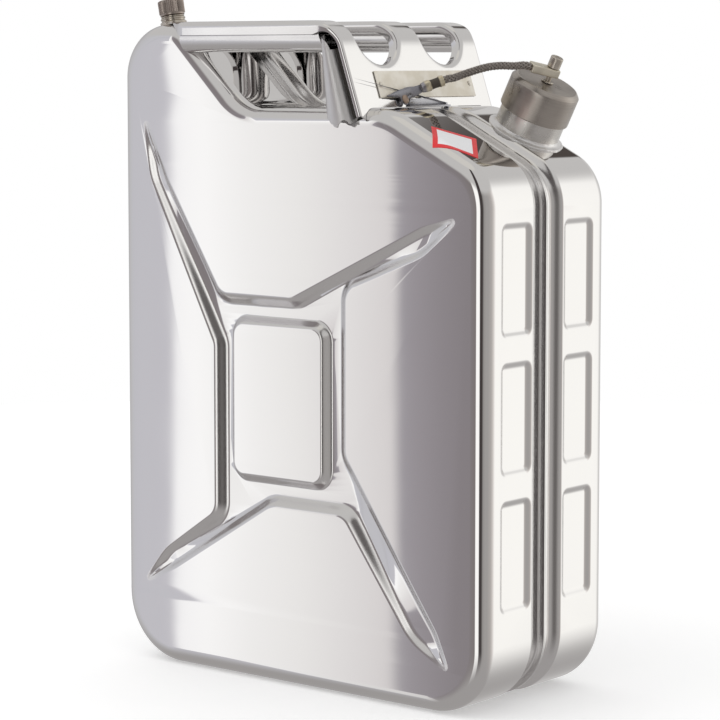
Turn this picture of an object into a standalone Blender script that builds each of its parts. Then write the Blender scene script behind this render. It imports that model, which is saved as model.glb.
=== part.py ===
# Stainless safety can of about twenty litres. Two pressed half shells meet in a seam channel.
# On top are a three bar carrying handle with a leaning end plate, a screw cap on a leaning
# neck with a flame arrester and a relief valve, a vent screw, and a cable that keeps the cap.
# Lengths are in metres. X points to the spout side, Y across the can, Z up.
# The origin is the middle of the underside.
import math

import bmesh
import bpy
from mathutils import Matrix, Vector
from mathutils.geometry import tessellate_polygon

# Body outline, seen from the broad side
body_length = 0.345
body_thickness = 0.150
dip_height = 0.425
shoulder_drop = 0.045
shoulder_slope = math.radians(27)
rear_slope = math.radians(44)
rear_slope_inset = 0.1210
rear_bottom_radius = 0.052
front_bottom_radius = 0.050
shoulder_radius = 0.040
bend_radius = 0.060
dip_radius = 0.040
hump_radius = 0.020
rear_top_radius = 0.040
corner_steps = 6

# Body section
shell_wall = 0.0010
face_radius = 0.0125
face_steps = 3
channel_top_half = 0.0180
channel_floor_half = 0.0110
channel_depth = 0.0060
flange_height = 0.0050
seam_gap = 0.0003
seat_gap = 0.0003

# Ladder recesses of the narrow sides
recess_inner_edge = 0.0193
recess_edge_margin = 0.0073
recess_web = 0.0180
recess_bottom = 0.0734
ladder_top_drop = 0.0336
recess_depth = 0.0028
recess_slope = 0.0032
recess_radius = 0.0060
recess_rows = 3
recess_steps = 2

# Pressed cross of the broad sides
cross_depth = 0.0065
cross_slope = 0.0070
cross_tip_depth = 0.0014
cross_tip_slope = 0.0014
cross_corner_radius = 0.0140
panel_centre_x = -0.0162
panel_centre_z = 0.2094
panel_half_width = 0.0488
panel_half_height = 0.0618
panel_corner_radius = 0.0150
panel_slope = 0.0050
panel_gap_side = 0.0055
panel_gap_front = 0.0090
panel_gap_end = 0.0080
top_panel_shift = -0.0203
bottom_panel_shift = 0.0282
end_panel_half = 0.0350
front_panel_rise = 0.0866
front_panel_drop = 0.0334
rear_panel_rise = 0.0396
rear_panel_drop = 0.0874
arm_tip_radius = 0.0020
arm_shoulder_radius = 0.0450
# Each arm has its tip as seen from the body's corner, then its two shoulders from the tip
front_top_arm = ((-0.0205, -0.0285), (-0.034, -0.0285), (-0.034, -0.0090))
rear_top_arm = ((0.0225, -0.0614), (0.026, -0.0550), (0.009, -0.0530))
rear_bottom_arm = ((0.0195, 0.0580), (0.025, 0.0300), (0.035, 0.0175))
front_bottom_arm = ((-0.0295, 0.0310), (-0.035, 0.0190), (-0.012, 0.0270))

# Handle
handle_rise = 0.0620
handle_overhang = 0.0090
sheet_wall = 0.0012
lap_gap = 0.0004
handle_bend = 0.0260
plate_lean = math.radians(19)
plate_foot_inset = 0.1078
sheet_rear_inset = 0.0345
sheet_rear_narrowing = 0.0260
sheet_taper_inset = 0.0685
slot_rear_inset = 0.0765
slot_centre = 0.0375
slot_width = 0.0460
slot_end_rise = 0.0333
slot_steps = 4
rim_radius = 0.0040
rim_drop = 0.0080
edge_roll = 0.0050
edge_drop = 0.0100
plate_edge_drop = 0.0056
edge_fade = 0.0200
tube_depth = 0.0225
tube_edge = 0.0075
tube_end_gap = 0.0009
leg_front_drop = 0.0062
leg_rear_drop = 0.0212
leg_inner_gap = 0.0004
leg_edge_gap = 0.0003
leg_overlap = 0.0145
leg_mitre = 0.0080
flap_overlap = 0.0150

# Name plate on the end plate
name_plate_width = 0.1130
name_plate_height = 0.0200
name_plate_wall = 0.0008
name_plate_centre_y = 0.0040
name_plate_rise = 0.0173
name_rivet_radius = 0.0012
name_rivet_head = 0.0007
name_rivet_inset = 0.0040

# Saddle over the seam, in front of the end plate
saddle_wall = 0.0012
saddle_lip = 0.0040
saddle_rear_y = -0.0228
saddle_front_y = 0.0210
saddle_top_rear_y = -0.0196
saddle_top_front_y = 0.0070
saddle_height = 0.0066
saddle_end_height = 0.0026

# Neck and cap, along the neck axis
neck_inset = 0.0512
neck_edge = 0.0320
neck_radius = 0.02425
neck_bore = 0.0222
neck_top = 0.0350
bead_radius = 0.0280
bead_height = 0.0035
arrester_clearance = 0.0015
arrester_wall = 0.0008
arrester_length = 0.0700
arrester_sides = 20
arrester_rows = 9
gasket_wall = 0.0020
gasket_width = 0.0045
gasket_clearance = 0.0003
cap_radius = 0.0260
cap_skirt_bottom = 0.0160
cap_clearance = 0.0004
cap_top_wall = 0.0026
cap_chamfer = 0.0030
cap_bore = 0.0032
cap_bolt_radius = 0.0021
cap_bolt_neck = 0.0016
cap_bolt_head_radius = 0.0047
cap_bolt_head = 0.0095
cap_bolt_foot_radius = 0.0050
cap_bolt_foot = 0.0030
washer_wall = 0.0010
washer_radius = 0.0046

# Relief valve inside the cap
valve_seat_radius = 0.0090
valve_disc_radius = 0.0125
valve_disc_wall = 0.0016
valve_spring_radius = 0.0070
valve_spring_wire = 0.0005
valve_spring_curls = 5
valve_spring_room = 0.0110
valve_cup_radius = 0.0150
valve_cup_wall = 0.0010
valve_bolt_clearance = 0.0004

# Tether: block on the cap bolt, cable, ferrules and riveted tongue
block_rise = 0.0055
block_length = 0.0230
block_width = 0.0090
block_height = 0.0062
block_tail = 0.0050
block_turn = math.radians(-128)
block_bevel = 0.0008
cable_radius = 0.0032
cable_step = 0.0070
# Middle points of the cable's route, from the block to the ferrule: the share of the straight
# way, and how far the cable lies beside and over it
cable_route = (
    (0.148, -0.0038, 0.0018),
    (0.307, -0.0042, 0.0036),
    (0.489, -0.0023, 0.0041),
    (0.721, 0.0004, 0.0026),
    (0.887, 0.0009, 0.0007),
)
ferrule_radius = 0.0042
ferrule_start_y = 0.0030
ferrule_start_rise = 0.0124
ferrule_start_out = 0.0175
ferrule_end_y = -0.0098
ferrule_end_rise = 0.0146
ferrule_end_out = 0.0062
tongue_wall = 0.0015
tongue_rise = 0.0096
tongue_tip_y = -0.0465
rivet_radius = 0.0020
rivet_head_radius = 0.0034
rivet_head = 0.0012
rivet_y = -0.0283
rivet_rise = 0.0049
eye_margin = 0.0008

# Vent screw on the hump
vent_inset = 0.0325
vent_edge = 0.0250
vent_radius = 0.0100
vent_boss_height = 0.0058
vent_groove = 0.0012
vent_bore = 0.0045
vent_stem_clearance = 0.0004
vent_seal_wall = 0.0010
vent_seal_radius = 0.0088
vent_cap_height = 0.0120
vent_stem_length = 0.0100
vent_ribs = 26
vent_rib_depth = 0.0005
vent_room_gap = 0.0010

handle_bars = (-1, 0, 1)
round_sides = 32

half_length = body_length / 2
half_thickness = body_thickness / 2
shoulder_height = dip_height - shoulder_drop
rear_slope_foot = rear_slope_inset - half_length
ladder_height = shoulder_height - ladder_top_drop - recess_bottom
recess_height = (ladder_height - (recess_rows - 1) * recess_web) / recess_rows
recess_width = half_thickness - face_radius - recess_edge_margin - recess_inner_edge
neck_base_x = half_length - neck_inset
neck_base_y = half_thickness - neck_edge
neck_base_z = shoulder_height + neck_inset * math.tan(shoulder_slope)

handle_top = dip_height + handle_rise
handle_half_width = half_thickness + handle_overhang
sheet_rear_half = handle_half_width - sheet_rear_narrowing
plate_foot_x = half_length - plate_foot_inset
sheet_rear_x = sheet_rear_inset - half_length
sheet_taper_x = sheet_taper_inset - half_length
slot_rear_x = slot_rear_inset - half_length
leg_bulge = handle_overhang - seat_gap - leg_inner_gap - leg_edge_gap
hump_height = handle_top - sheet_wall - lap_gap
bend_angle = math.pi / 2 - plate_lean
bend_end_z = handle_top - handle_bend * (1 - math.cos(bend_angle))
bend_start_x = (
    plate_foot_x
    - (bend_end_z - dip_height) * math.tan(plate_lean)
    - handle_bend * math.sin(bend_angle)
)
bend_travel = handle_bend * bend_angle
foot_travel = bend_travel + (bend_end_z - dip_height) / math.cos(plate_lean)
slot_end_travel = foot_travel - slot_end_rise

neck_place = Matrix.Translation((neck_base_x, neck_base_y, neck_base_z)) @ Matrix.Rotation(
    shoulder_slope, 4, "Y"
)
vent_x = vent_inset - half_length
vent_y = vent_edge - half_thickness
vent_tilt = math.asin((vent_inset - rear_top_radius) / rear_top_radius)
vent_base_z = hump_height - rear_top_radius * (1 - math.cos(vent_tilt))
vent_place = Matrix.Translation((vent_x, vent_y, vent_base_z)) @ Matrix.Rotation(vent_tilt, 4, "Y")

arrester_top = neck_top + seat_gap
gasket_bottom = arrester_top + arrester_wall + seat_gap
cap_underside = gasket_bottom + gasket_wall + seat_gap
cap_top = cap_underside + cap_top_wall
block_bottom = cap_top + block_rise
block_top = block_bottom + block_height


def clear_scene():
    for old in list(bpy.data.objects):
        bpy.data.objects.remove(old, do_unlink=True)


def make_material(name, colour, metallic, roughness):
    material = bpy.data.materials.new(name)
    material.use_nodes = True
    shader = material.node_tree.nodes["Principled BSDF"]
    shader.inputs["Base Color"].default_value = (*colour, 1.0)
    shader.inputs["Metallic"].default_value = metallic
    shader.inputs["Roughness"].default_value = roughness
    return material


# Makes a bmesh into a named object. The face that lies furthest along "out" must look that
# way, which settles the side of an open sheet before it is thickened.
def add_object(name, mesh_work, material, out=Vector((0, 0, 1)), parent=None):
    bmesh.ops.recalc_face_normals(mesh_work, faces=mesh_work.faces)
    mesh_work.normal_update()
    furthest = max(mesh_work.faces, key=lambda face: face.calc_center_median().dot(out))
    if furthest.normal.dot(out) < 0:
        bmesh.ops.reverse_faces(mesh_work, faces=mesh_work.faces)
    mesh = bpy.data.meshes.new(name)
    mesh_work.to_mesh(mesh)
    mesh_work.free()
    mesh.materials.append(material)
    mesh.shade_smooth()
    mesh.set_sharp_from_angle(angle=math.radians(35))
    made = bpy.data.objects.new(name, mesh)
    bpy.context.scene.collection.objects.link(made)
    made.parent = parent
    return made


def add_axis(name, place):
    axis = bpy.data.objects.new(name, None)
    axis.matrix_world = place
    bpy.context.scene.collection.objects.link(axis)
    return axis


def thicken(made, wall):
    solid = made.modifiers.new("wall", "SOLIDIFY")
    solid.thickness = wall
    solid.offset = -1
    solid.use_even_offset = True


def hide_cutter(cutter):
    cutter.hide_render = True
    cutter.display_type = "WIRE"


def cut(made, cutter):
    boolean = made.modifiers.new("cut", "BOOLEAN")
    boolean.operation = "DIFFERENCE"
    boolean.object = cutter


# The points of a closed outline with rounded corners, pushed inwards at each corner by its
# inset. A corner starts with two coordinates, a radius and a number of steps. Corners run
# counter-clockwise.
def rounded(corners, insets=0.0):
    least_radius = 0.0004
    count = len(corners)
    if not isinstance(insets, (list, tuple)):
        insets = [insets] * count
    points = []
    for index, corner in enumerate(corners):
        radius, steps = corner[2:4]
        here = Vector(corner[:2])
        before = Vector(corners[index - 1][:2])
        after = Vector(corners[(index + 1) % count][:2])
        way_in = (here - before).normalized()
        way_out = (after - here).normalized()
        left_in = Vector((-way_in.y, way_in.x))
        left_out = Vector((-way_out.y, way_out.x))
        here = here + (left_in + left_out) * insets[index] / (1 + left_in.dot(left_out))
        turn = math.atan2(way_in.x * way_out.y - way_in.y * way_out.x, way_in.dot(way_out))
        side = 1 if turn > 0 else -1
        bent = max(radius - side * insets[index], least_radius)
        start = here - way_in * bent * math.tan(abs(turn) / 2)
        centre = start + left_in * bent * side
        for step in range(steps + 1):
            points.append(centre + Matrix.Rotation(turn * step / steps, 2) @ (start - centre))
    return points


def add_verts(mesh_work, points):
    return [mesh_work.verts.new(point) for point in points]


# Faces between two rings of equal length
def skin(mesh_work, ring, other, skipped=()):
    count = len(ring)
    for index in range(count):
        if index in skipped:
            continue
        after = (index + 1) % count
        mesh_work.faces.new((ring[index], ring[after], other[after], other[index]))


# A flat region inside the first loop, less the other loops
def fill(mesh_work, loops):
    verts = [vert for loop in loops for vert in loop]
    for triangle in tessellate_polygon([[vert.co for vert in loop] for loop in loops]):
        mesh_work.faces.new([verts[index] for index in triangle])


# A turned piece. The profile is a closed loop of radius and height.
def turned(mesh_work, profile, sides=round_sides, centre=(0, 0, 0)):
    rings = []
    for radius, height in profile:
        ring = []
        for side in range(sides):
            angle = math.tau * side / sides
            spot = Vector((radius * math.cos(angle), radius * math.sin(angle), height))
            ring.append(spot + Vector(centre))
        rings.append(ring if radius > 0 else [Vector(centre) + Vector((0, 0, height))])
    rings = [add_verts(mesh_work, ring) for ring in rings]
    for index, ring in enumerate(rings):
        after = rings[(index + 1) % len(rings)]
        if len(ring) > 1 and len(after) > 1:
            skin(mesh_work, ring, after)
        elif len(ring) > 1 or len(after) > 1:
            wide, tip = (ring, after[0]) if len(ring) > 1 else (after, ring[0])
            for side in range(sides):
                mesh_work.faces.new((wide[side], wide[(side + 1) % sides], tip))


def add_turned(name, profile, material, parent=None, sides=round_sides):
    mesh_work = bmesh.new()
    turned(mesh_work, profile, sides)
    return add_object(name, mesh_work, material, parent=parent)


def rod_profile(radius, bottom, top):
    return [(0, bottom), (radius, bottom), (radius, top), (0, top)]


def add_cutter_rod(name, radius, bottom, top, place, sides=round_sides):
    mesh_work = bmesh.new()
    turned(mesh_work, rod_profile(radius, bottom, top), sides)
    cutter = add_object(name, mesh_work, steel)
    cutter.matrix_world = place
    hide_cutter(cutter)
    return cutter


# Body

def body_corners():
    bend_x = half_length - (dip_height - shoulder_height) / math.tan(shoulder_slope)
    hump_x = rear_slope_foot - (hump_height - dip_height) / math.tan(rear_slope)
    return [
        (-half_length, 0, rear_bottom_radius, corner_steps),
        (half_length, 0, front_bottom_radius, corner_steps),
        (half_length, shoulder_height, shoulder_radius, corner_steps),
        (bend_x, dip_height, bend_radius, corner_steps),
        (rear_slope_foot, dip_height, dip_radius, corner_steps),
        (hump_x, hump_height, hump_radius, corner_steps),
        (-half_length, hump_height, rear_top_radius, corner_steps),
    ]


def body_ring(inset, across):
    return [Vector((point.x, across, point.y)) for point in rounded(body_corners(), inset)]


def panel_edges():
    left = panel_centre_x - panel_half_width - panel_gap_side - cross_slope
    right = panel_centre_x + panel_half_width + panel_gap_front + cross_slope
    low = panel_centre_z - panel_half_height - panel_gap_end - cross_slope
    high = panel_centre_z + panel_half_height + panel_gap_end + cross_slope
    return left, right, low, high


# The pressed cross as corners, each with the share of the full depth that it reaches.
# An arm runs from two panel corners past a shoulder on each side to its tip.
def cross_corners():
    left, right, low, high = panel_edges()
    upper_middle = panel_centre_x + top_panel_shift
    lower_middle = panel_centre_x + bottom_panel_shift

    def panel(across, along):
        return [(across, along, cross_corner_radius, 4, 1.0)]

    def arm(corner_x, corner_z, tip, before, after):
        tip_x = corner_x + tip[0]
        tip_z = corner_z + tip[1]
        return [
            (tip_x + before[0], tip_z + before[1], arm_shoulder_radius, 2, 0.5),
            (tip_x, tip_z, arm_tip_radius, 2, 0.0),
            (tip_x + after[0], tip_z + after[1], arm_shoulder_radius, 2, 0.5),
        ]

    return (
        panel(right, panel_centre_z + front_panel_rise)
        + arm(half_length, shoulder_height, *front_top_arm)
        + panel(upper_middle + end_panel_half, high)
        + panel(upper_middle - end_panel_half, high)
        + arm(-half_length, hump_height, *rear_top_arm)
        + panel(left, panel_centre_z + rear_panel_rise)
        + panel(left, panel_centre_z - rear_panel_drop)
        + arm(-half_length, 0, *rear_bottom_arm)
        + panel(lower_middle - end_panel_half, low)
        + panel(lower_middle + end_panel_half, low)
        + arm(half_length, 0, *front_bottom_arm)
        + panel(right, panel_centre_z - front_panel_drop)
    )


# The pressing on one broad side: a cross whose arms grow shallow towards their tips, round a
# raised centre panel. "lay" turns outline coordinates and a depth into a point.
def press_cross(mesh_work, face_ring, lay):
    corners = cross_corners()
    shares = [corner[4] for corner in corners]
    insets = [cross_tip_slope + share * (cross_slope - cross_tip_slope) for share in shares]
    depths = [cross_tip_depth + share * (cross_depth - cross_tip_depth) for share in shares]
    edge = add_verts(mesh_work, [lay(point, 0) for point in rounded(corners)])
    floor_points = rounded(corners, insets)
    floor = []
    groups = []
    for corner, depth in zip(corners, depths):
        group = floor_points[: corner[3] + 1]
        floor_points = floor_points[corner[3] + 1 :]
        groups.append(add_verts(mesh_work, [lay(point, depth) for point in group]))
        floor += groups[-1]
    fill(mesh_work, [face_ring, edge])
    skin(mesh_work, edge, floor)

    left = panel_centre_x - panel_half_width
    right = panel_centre_x + panel_half_width
    low = panel_centre_z - panel_half_height
    high = panel_centre_z + panel_half_height
    box = [(left, low), (right, low), (right, high), (left, high)]
    box = [(*corner, panel_corner_radius, 4) for corner in box]
    foot = add_verts(mesh_work, [lay(point, cross_depth) for point in rounded(box)])
    top = add_verts(mesh_work, [lay(point, 0) for point in rounded(box, panel_slope)])
    skin(mesh_work, foot, top)
    fill(mesh_work, [top])

    middle = [vert for group, share in zip(groups, shares) if share == 1 for vert in group]
    fill(mesh_work, [middle, foot])
    for place, share in enumerate(shares):
        if share > 0:
            continue
        rise = [groups[place - 2][-1]] + groups[place - 1] + [groups[place][0]]
        fall = [groups[(place + 2) % len(groups)][0]] + groups[place + 1][::-1] + [groups[place][-1]]
        for step in range(len(rise) - 1):
            mesh_work.faces.new((rise[step], rise[step + 1], fall[step + 1], fall[step]))
        mesh_work.faces.new(groups[place])


# The ladder of recesses in one narrow side, inside the strip between two rings
def press_ladder(mesh_work, strip, end, side):
    holes = []
    for row in range(recess_rows):
        low = recess_bottom + row * (recess_height + recess_web)
        box = [
            (recess_inner_edge, low),
            (recess_inner_edge + recess_width, low),
            (recess_inner_edge + recess_width, low + recess_height),
            (recess_inner_edge, low + recess_height),
        ]
        box = [(*corner, recess_radius, recess_steps) for corner in box]
        rim = [Vector((end * half_length, side * p.x, p.y)) for p in rounded(box)]
        deep = end * (half_length - recess_depth)
        bed = [Vector((deep, side * p.x, p.y)) for p in rounded(box, recess_slope)]
        rim = add_verts(mesh_work, rim)
        bed = add_verts(mesh_work, bed)
        skin(mesh_work, rim, bed)
        fill(mesh_work, [bed])
        holes.append(rim)
    fill(mesh_work, [strip] + holes)


# One half of the body, on the side of -Y or +Y
def add_shell(name, side):
    mesh_work = bmesh.new()
    rings = []
    for step in range(face_steps + 1):
        angle = math.pi / 2 * step / face_steps
        inset = face_radius * (1 - math.sin(angle))
        across = half_thickness - face_radius + face_radius * math.cos(angle)
        rings.append(body_ring(inset, side * across))
    flange_face = seam_gap / 2 + shell_wall
    rings.append(body_ring(0, side * channel_top_half))
    rings.append(body_ring(channel_depth, side * channel_floor_half))
    rings.append(body_ring(channel_depth, side * flange_face))
    rings.append(body_ring(channel_depth - flange_height, side * flange_face))
    rings = [add_verts(mesh_work, ring) for ring in rings]

    per_corner = corner_steps + 1
    front_edge = 2 * per_corner - 1
    rear_edge = 7 * per_corner - 1
    for place in range(len(rings) - 1):
        ladder = place == face_steps
        skipped = (front_edge, rear_edge) if ladder else ()
        skin(mesh_work, rings[place], rings[place + 1], skipped)
    wall, edge = rings[face_steps], rings[face_steps + 1]
    for start, end in ((front_edge, 1), (rear_edge, -1)):
        after = (start + 1) % len(wall)
        press_ladder(mesh_work, [wall[start], wall[after], edge[after], edge[start]], end, side)
    press_cross(
        mesh_work,
        rings[0],
        lambda point, depth: Vector((point.x, side * (half_thickness - depth), point.y)),
    )
    shell = add_object(name, mesh_work, steel, out=Vector((0, side, 0)))
    thicken(shell, shell_wall)
    return shell


# The body's plain outside, grown by the seating gap, which cuts what rests on the body
def add_body_cutter():
    mesh_work = bmesh.new()
    rings = []
    grown = face_radius + seat_gap
    for side in (-1, 1):
        for step in range(face_steps + 1):
            angle = math.pi / 2 * (step if side < 0 else face_steps - step) / face_steps
            inset = face_radius - grown * math.sin(angle)
            across = half_thickness - face_radius + grown * math.cos(angle)
            rings.append(body_ring(inset, side * across))
    rings = [add_verts(mesh_work, ring) for ring in rings]
    for ring, other in zip(rings, rings[1:]):
        skin(mesh_work, ring, other)
    fill(mesh_work, [rings[0]])
    fill(mesh_work, [rings[-1]])
    cutter = add_object("body_cutter", mesh_work, steel)
    hide_cutter(cutter)
    return cutter


# Handle

# A point of the handle's outer line: travel runs forwards from the start of the bend and
# then down the end plate, drop is the depth under that line
def handle_point(travel, across, drop):
    if travel < 0:
        return Vector((bend_start_x + travel, across, handle_top - drop))
    angle = min(travel / handle_bend, bend_angle)
    reach = handle_bend - drop
    spot = Vector(
        (
            bend_start_x + reach * math.sin(angle),
            across,
            handle_top - handle_bend + reach * math.cos(angle),
        )
    )
    down = Vector((math.sin(plate_lean), 0, -math.cos(plate_lean)))
    return spot + down * max(travel - bend_travel, 0)


# Place of a piece on the end plate: X across the can, Y up the plate from its foot,
# Z out of the plate
def plate_place(across, rise, out):
    spot = handle_point(foot_travel - rise, across, -out)
    up = Vector((-math.sin(plate_lean), 0, math.cos(plate_lean)))
    sideways = Vector((0, 1, 0))
    place = Matrix((sideways, up, sideways.cross(up))).transposed().to_4x4()
    place.translation = spot
    return place


# The same lines carried straight on above the end plate's bend
def plate_point(travel, across, drop):
    down = Vector((math.sin(plate_lean), 0, -math.cos(plate_lean)))
    return handle_point(bend_travel, across, drop) + down * (travel - bend_travel)


def slot_ends():
    rear = slot_rear_x - bend_start_x + slot_width / 2
    front = slot_end_travel - slot_width / 2
    return rear, front


def quarter(steps):
    return [math.pi / 2 * step / steps for step in range(steps + 1)]


# The loop round a slot, as travel and across, with extra points at the rows between its ends
def slot_loop(middle, reach, rows):
    rear, front = slot_ends()
    turn = [-angle for angle in quarter(slot_steps)[:0:-1]] + quarter(slot_steps)
    points = [(front + reach * math.cos(a), middle + reach * math.sin(a)) for a in turn]
    points += [(row, middle + reach) for row in reversed(rows)]
    points += [(rear - reach * math.cos(a), middle + reach * math.sin(a)) for a in turn[::-1]]
    points += [(row, middle - reach) for row in rows]
    return points


def slot_distance(travel, across, reach):
    rear, front = slot_ends()
    nearest = min(max(travel, rear), front)
    return math.hypot(travel - nearest, abs(across) - slot_centre) - reach


# Rows of the handle sheet: travel, half width, share of the rolled edge, depth of its lip
def sheet_rows(reach):
    rear, front = slot_ends()
    start = sheet_rear_x - bend_start_x
    bend_rows = [front * share for share in (0.0, 0.25, 0.5, 0.75)]
    rows = []
    taper = 3
    for step in range(taper + 1):
        share = step / taper
        half = sheet_rear_half + (handle_half_width - sheet_rear_half) * share
        travel = start + (sheet_taper_x - sheet_rear_x) * share
        rows.append((travel, half, max(0.0, 2 * share - 1), edge_drop))
    travels = [rear - reach * math.cos(angle) for angle in quarter(slot_steps)]
    travels += bend_rows
    travels += [front + reach * math.sin(angle) for angle in quarter(slot_steps)]
    travels.append(foot_travel + flap_overlap)
    for travel in travels:
        fade = min(max(travel / edge_fade, 0), 1)
        lip = edge_drop + (plate_edge_drop - edge_drop) * fade
        rows.append((travel, handle_half_width, 1.0, lip))
    return rows, bend_rows


# Columns of the handle sheet on one side: across and drop, the last one being the lip
def sheet_columns(reach):
    inner = slot_centre - reach
    columns = [(inner / 2, 0), (inner, 0)]
    for step in range(1, 2 * slot_steps + 1):
        angle = math.pi / 2 * step / slot_steps
        columns.append((slot_centre - reach * math.cos(angle), 0))
    for angle in quarter(3):
        across = handle_half_width - edge_roll + edge_roll * math.sin(angle)
        columns.append((across, edge_roll * (1 - math.cos(angle))))
    return columns


# The pressed sheet over the three bars, with the end plate and a rolled rim round both slots
def add_handle_sheet(body_cutter):
    mesh_work = bmesh.new()
    slot_reach = slot_width / 2
    reach = slot_reach + rim_radius
    rows, bend_rows = sheet_rows(reach)
    right = sheet_columns(reach)
    columns = [(-across, drop) for across, drop in right[::-1]] + [(0, 0)] + right
    grid = []
    spots = []
    for travel, half, share, lip in rows:
        scale = half / handle_half_width
        edge = half + (1 - share) * sheet_wall
        line = [(across * scale, drop * share) for across, drop in columns]
        line = [(-edge, lip * share)] + line + [(edge, lip * share)]
        spots.append([(travel, across) for across, drop in line])
        grid.append(add_verts(mesh_work, [handle_point(travel, *spot) for spot in line]))
    for row in range(len(grid) - 1):
        for column in range(len(grid[row]) - 1):
            cell = [(row, column), (row, column + 1), (row + 1, column + 1), (row + 1, column)]
            kept = [at for at in cell if slot_distance(*spots[at[0]][at[1]], reach) > -1e-6]
            if len(kept) > 2:
                mesh_work.faces.new([grid[at[0]][at[1]] for at in kept])
    for middle in (-slot_centre, slot_centre):
        loops = []
        for angle in quarter(2):
            out = slot_reach + rim_radius * (1 - math.sin(angle))
            drop = rim_radius * (1 - math.cos(angle))
            loops.append((out, drop))
        loops.append((slot_reach, rim_drop))
        rings = []
        for out, drop in loops:
            points = slot_loop(middle, out, bend_rows)
            rings.append(add_verts(mesh_work, [handle_point(*point, drop) for point in points]))
        for ring, other in zip(rings, rings[1:]):
            skin(mesh_work, ring, other)
    bmesh.ops.remove_doubles(mesh_work, verts=mesh_work.verts, dist=1e-5)
    loose = [vert for vert in mesh_work.verts if not vert.link_faces]
    bmesh.ops.delete(mesh_work, geom=loose, context="VERTS")
    sheet = add_object("handle_sheet", mesh_work, steel)
    thicken(sheet, sheet_wall)
    cut(sheet, body_cutter)
    return sheet


# How much deeper the underside of the sheet lies in the roll along its edge, at a distance
# past the roll's start
def roll_extra(past, radius):
    inside = radius - sheet_wall
    return inside - math.sqrt(max(inside**2 - max(past, 0) ** 2, 0))


# How far forwards the space under the handle sheet reaches at a depth
def sheet_back_x(drop, extra):
    depth = sheet_wall + tube_end_gap + extra
    reach = handle_bend - depth
    rise = handle_bend - drop
    if rise > reach * math.cos(bend_angle):
        return bend_start_x + math.sqrt(max(reach**2 - rise**2, 0))
    back = plate_point(bend_travel, 0, depth)
    return back.x + (back.z - (handle_top - drop)) * math.tan(plate_lean)


# A half round channel under one bar, from the hump to the back of the end plate
def add_tube(name, middle, radius, body_cutter):
    mesh_work = bmesh.new()
    section = [(middle - radius, tube_edge)]
    for angle in quarter(4) + [math.pi - a for a in quarter(4)[-2::-1]]:
        drop = tube_depth - radius + radius * math.sin(angle)
        section.append((middle - radius * math.cos(angle), drop))
    section.append((middle + radius, tube_edge))
    rear = []
    front = []
    for across, drop in section:
        to_rim = slot_centre + slot_width / 2 + rim_radius - abs(across)
        if middle == 0:
            to_rim = abs(across) - (slot_centre - slot_width / 2 - rim_radius)
        extra = roll_extra(to_rim, rim_radius)
        extra += roll_extra(abs(across) - (handle_half_width - edge_roll), edge_roll)
        rear.append(Vector((sheet_taper_x, across, handle_top - drop)))
        front.append(Vector((sheet_back_x(drop, extra), across, handle_top - drop)))
    rear = add_verts(mesh_work, rear)
    front = add_verts(mesh_work, front)
    skin(mesh_work, rear, front, skipped=(len(section) - 1,))
    tube = add_object(name, mesh_work, steel, out=Vector((0, 0, -1)))
    thicken(tube, sheet_wall)
    cut(tube, body_cutter)
    return tube


def leg_inner():
    return half_thickness + seat_gap + leg_inner_gap


# The room that a leg takes out of the end of the outer channel
def add_leg_cutter(side):
    mesh_work = bmesh.new()
    near = leg_inner() - seat_gap
    far = handle_half_width + leg_bulge
    corners = []
    for travel in (-handle_bend, foot_travel):
        for across, drop in ((near, -edge_drop), (far, -edge_drop), (far, 0), (near, 0)):
            deep = leg_rear_drop + seat_gap if drop == 0 else drop
            corners.append(plate_point(travel, side * across, deep))
    verts = add_verts(mesh_work, corners)
    skin(mesh_work, verts[:4], verts[4:])
    mesh_work.faces.new(verts[:4])
    mesh_work.faces.new(verts[4:])
    cutter = add_object(f"leg_cutter_{side}", mesh_work, steel)
    hide_cutter(cutter)
    return cutter


# A half round leg outside the body's edge, behind the end plate. Its foot is cut on a slant.
def add_leg(name, side):
    mesh_work = bmesh.new()
    steps = 8
    middle = (leg_front_drop + leg_rear_drop) / 2
    half = (leg_rear_drop - leg_front_drop) / 2
    lip_reach = handle_bend - edge_drop - seat_gap
    top = []
    foot = []
    for step in range(steps + 1):
        angle = math.pi * step / steps
        drop = middle - half * math.cos(angle)
        across = side * (leg_inner() + leg_bulge * math.sin(angle))
        rise = math.sqrt(max(lip_reach**2 - (handle_bend - drop) ** 2, 0))
        top.append(plate_point(bend_travel - rise, across, drop))
        end = foot_travel + leg_overlap - leg_mitre * math.sin(angle)
        foot.append(plate_point(end, across, drop))
    top = add_verts(mesh_work, top)
    foot = add_verts(mesh_work, foot)
    skin(mesh_work, top, foot, skipped=(steps,))
    leg = add_object(name, mesh_work, steel, out=Vector((0, side, 0)))
    thicken(leg, sheet_wall)
    return leg


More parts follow.
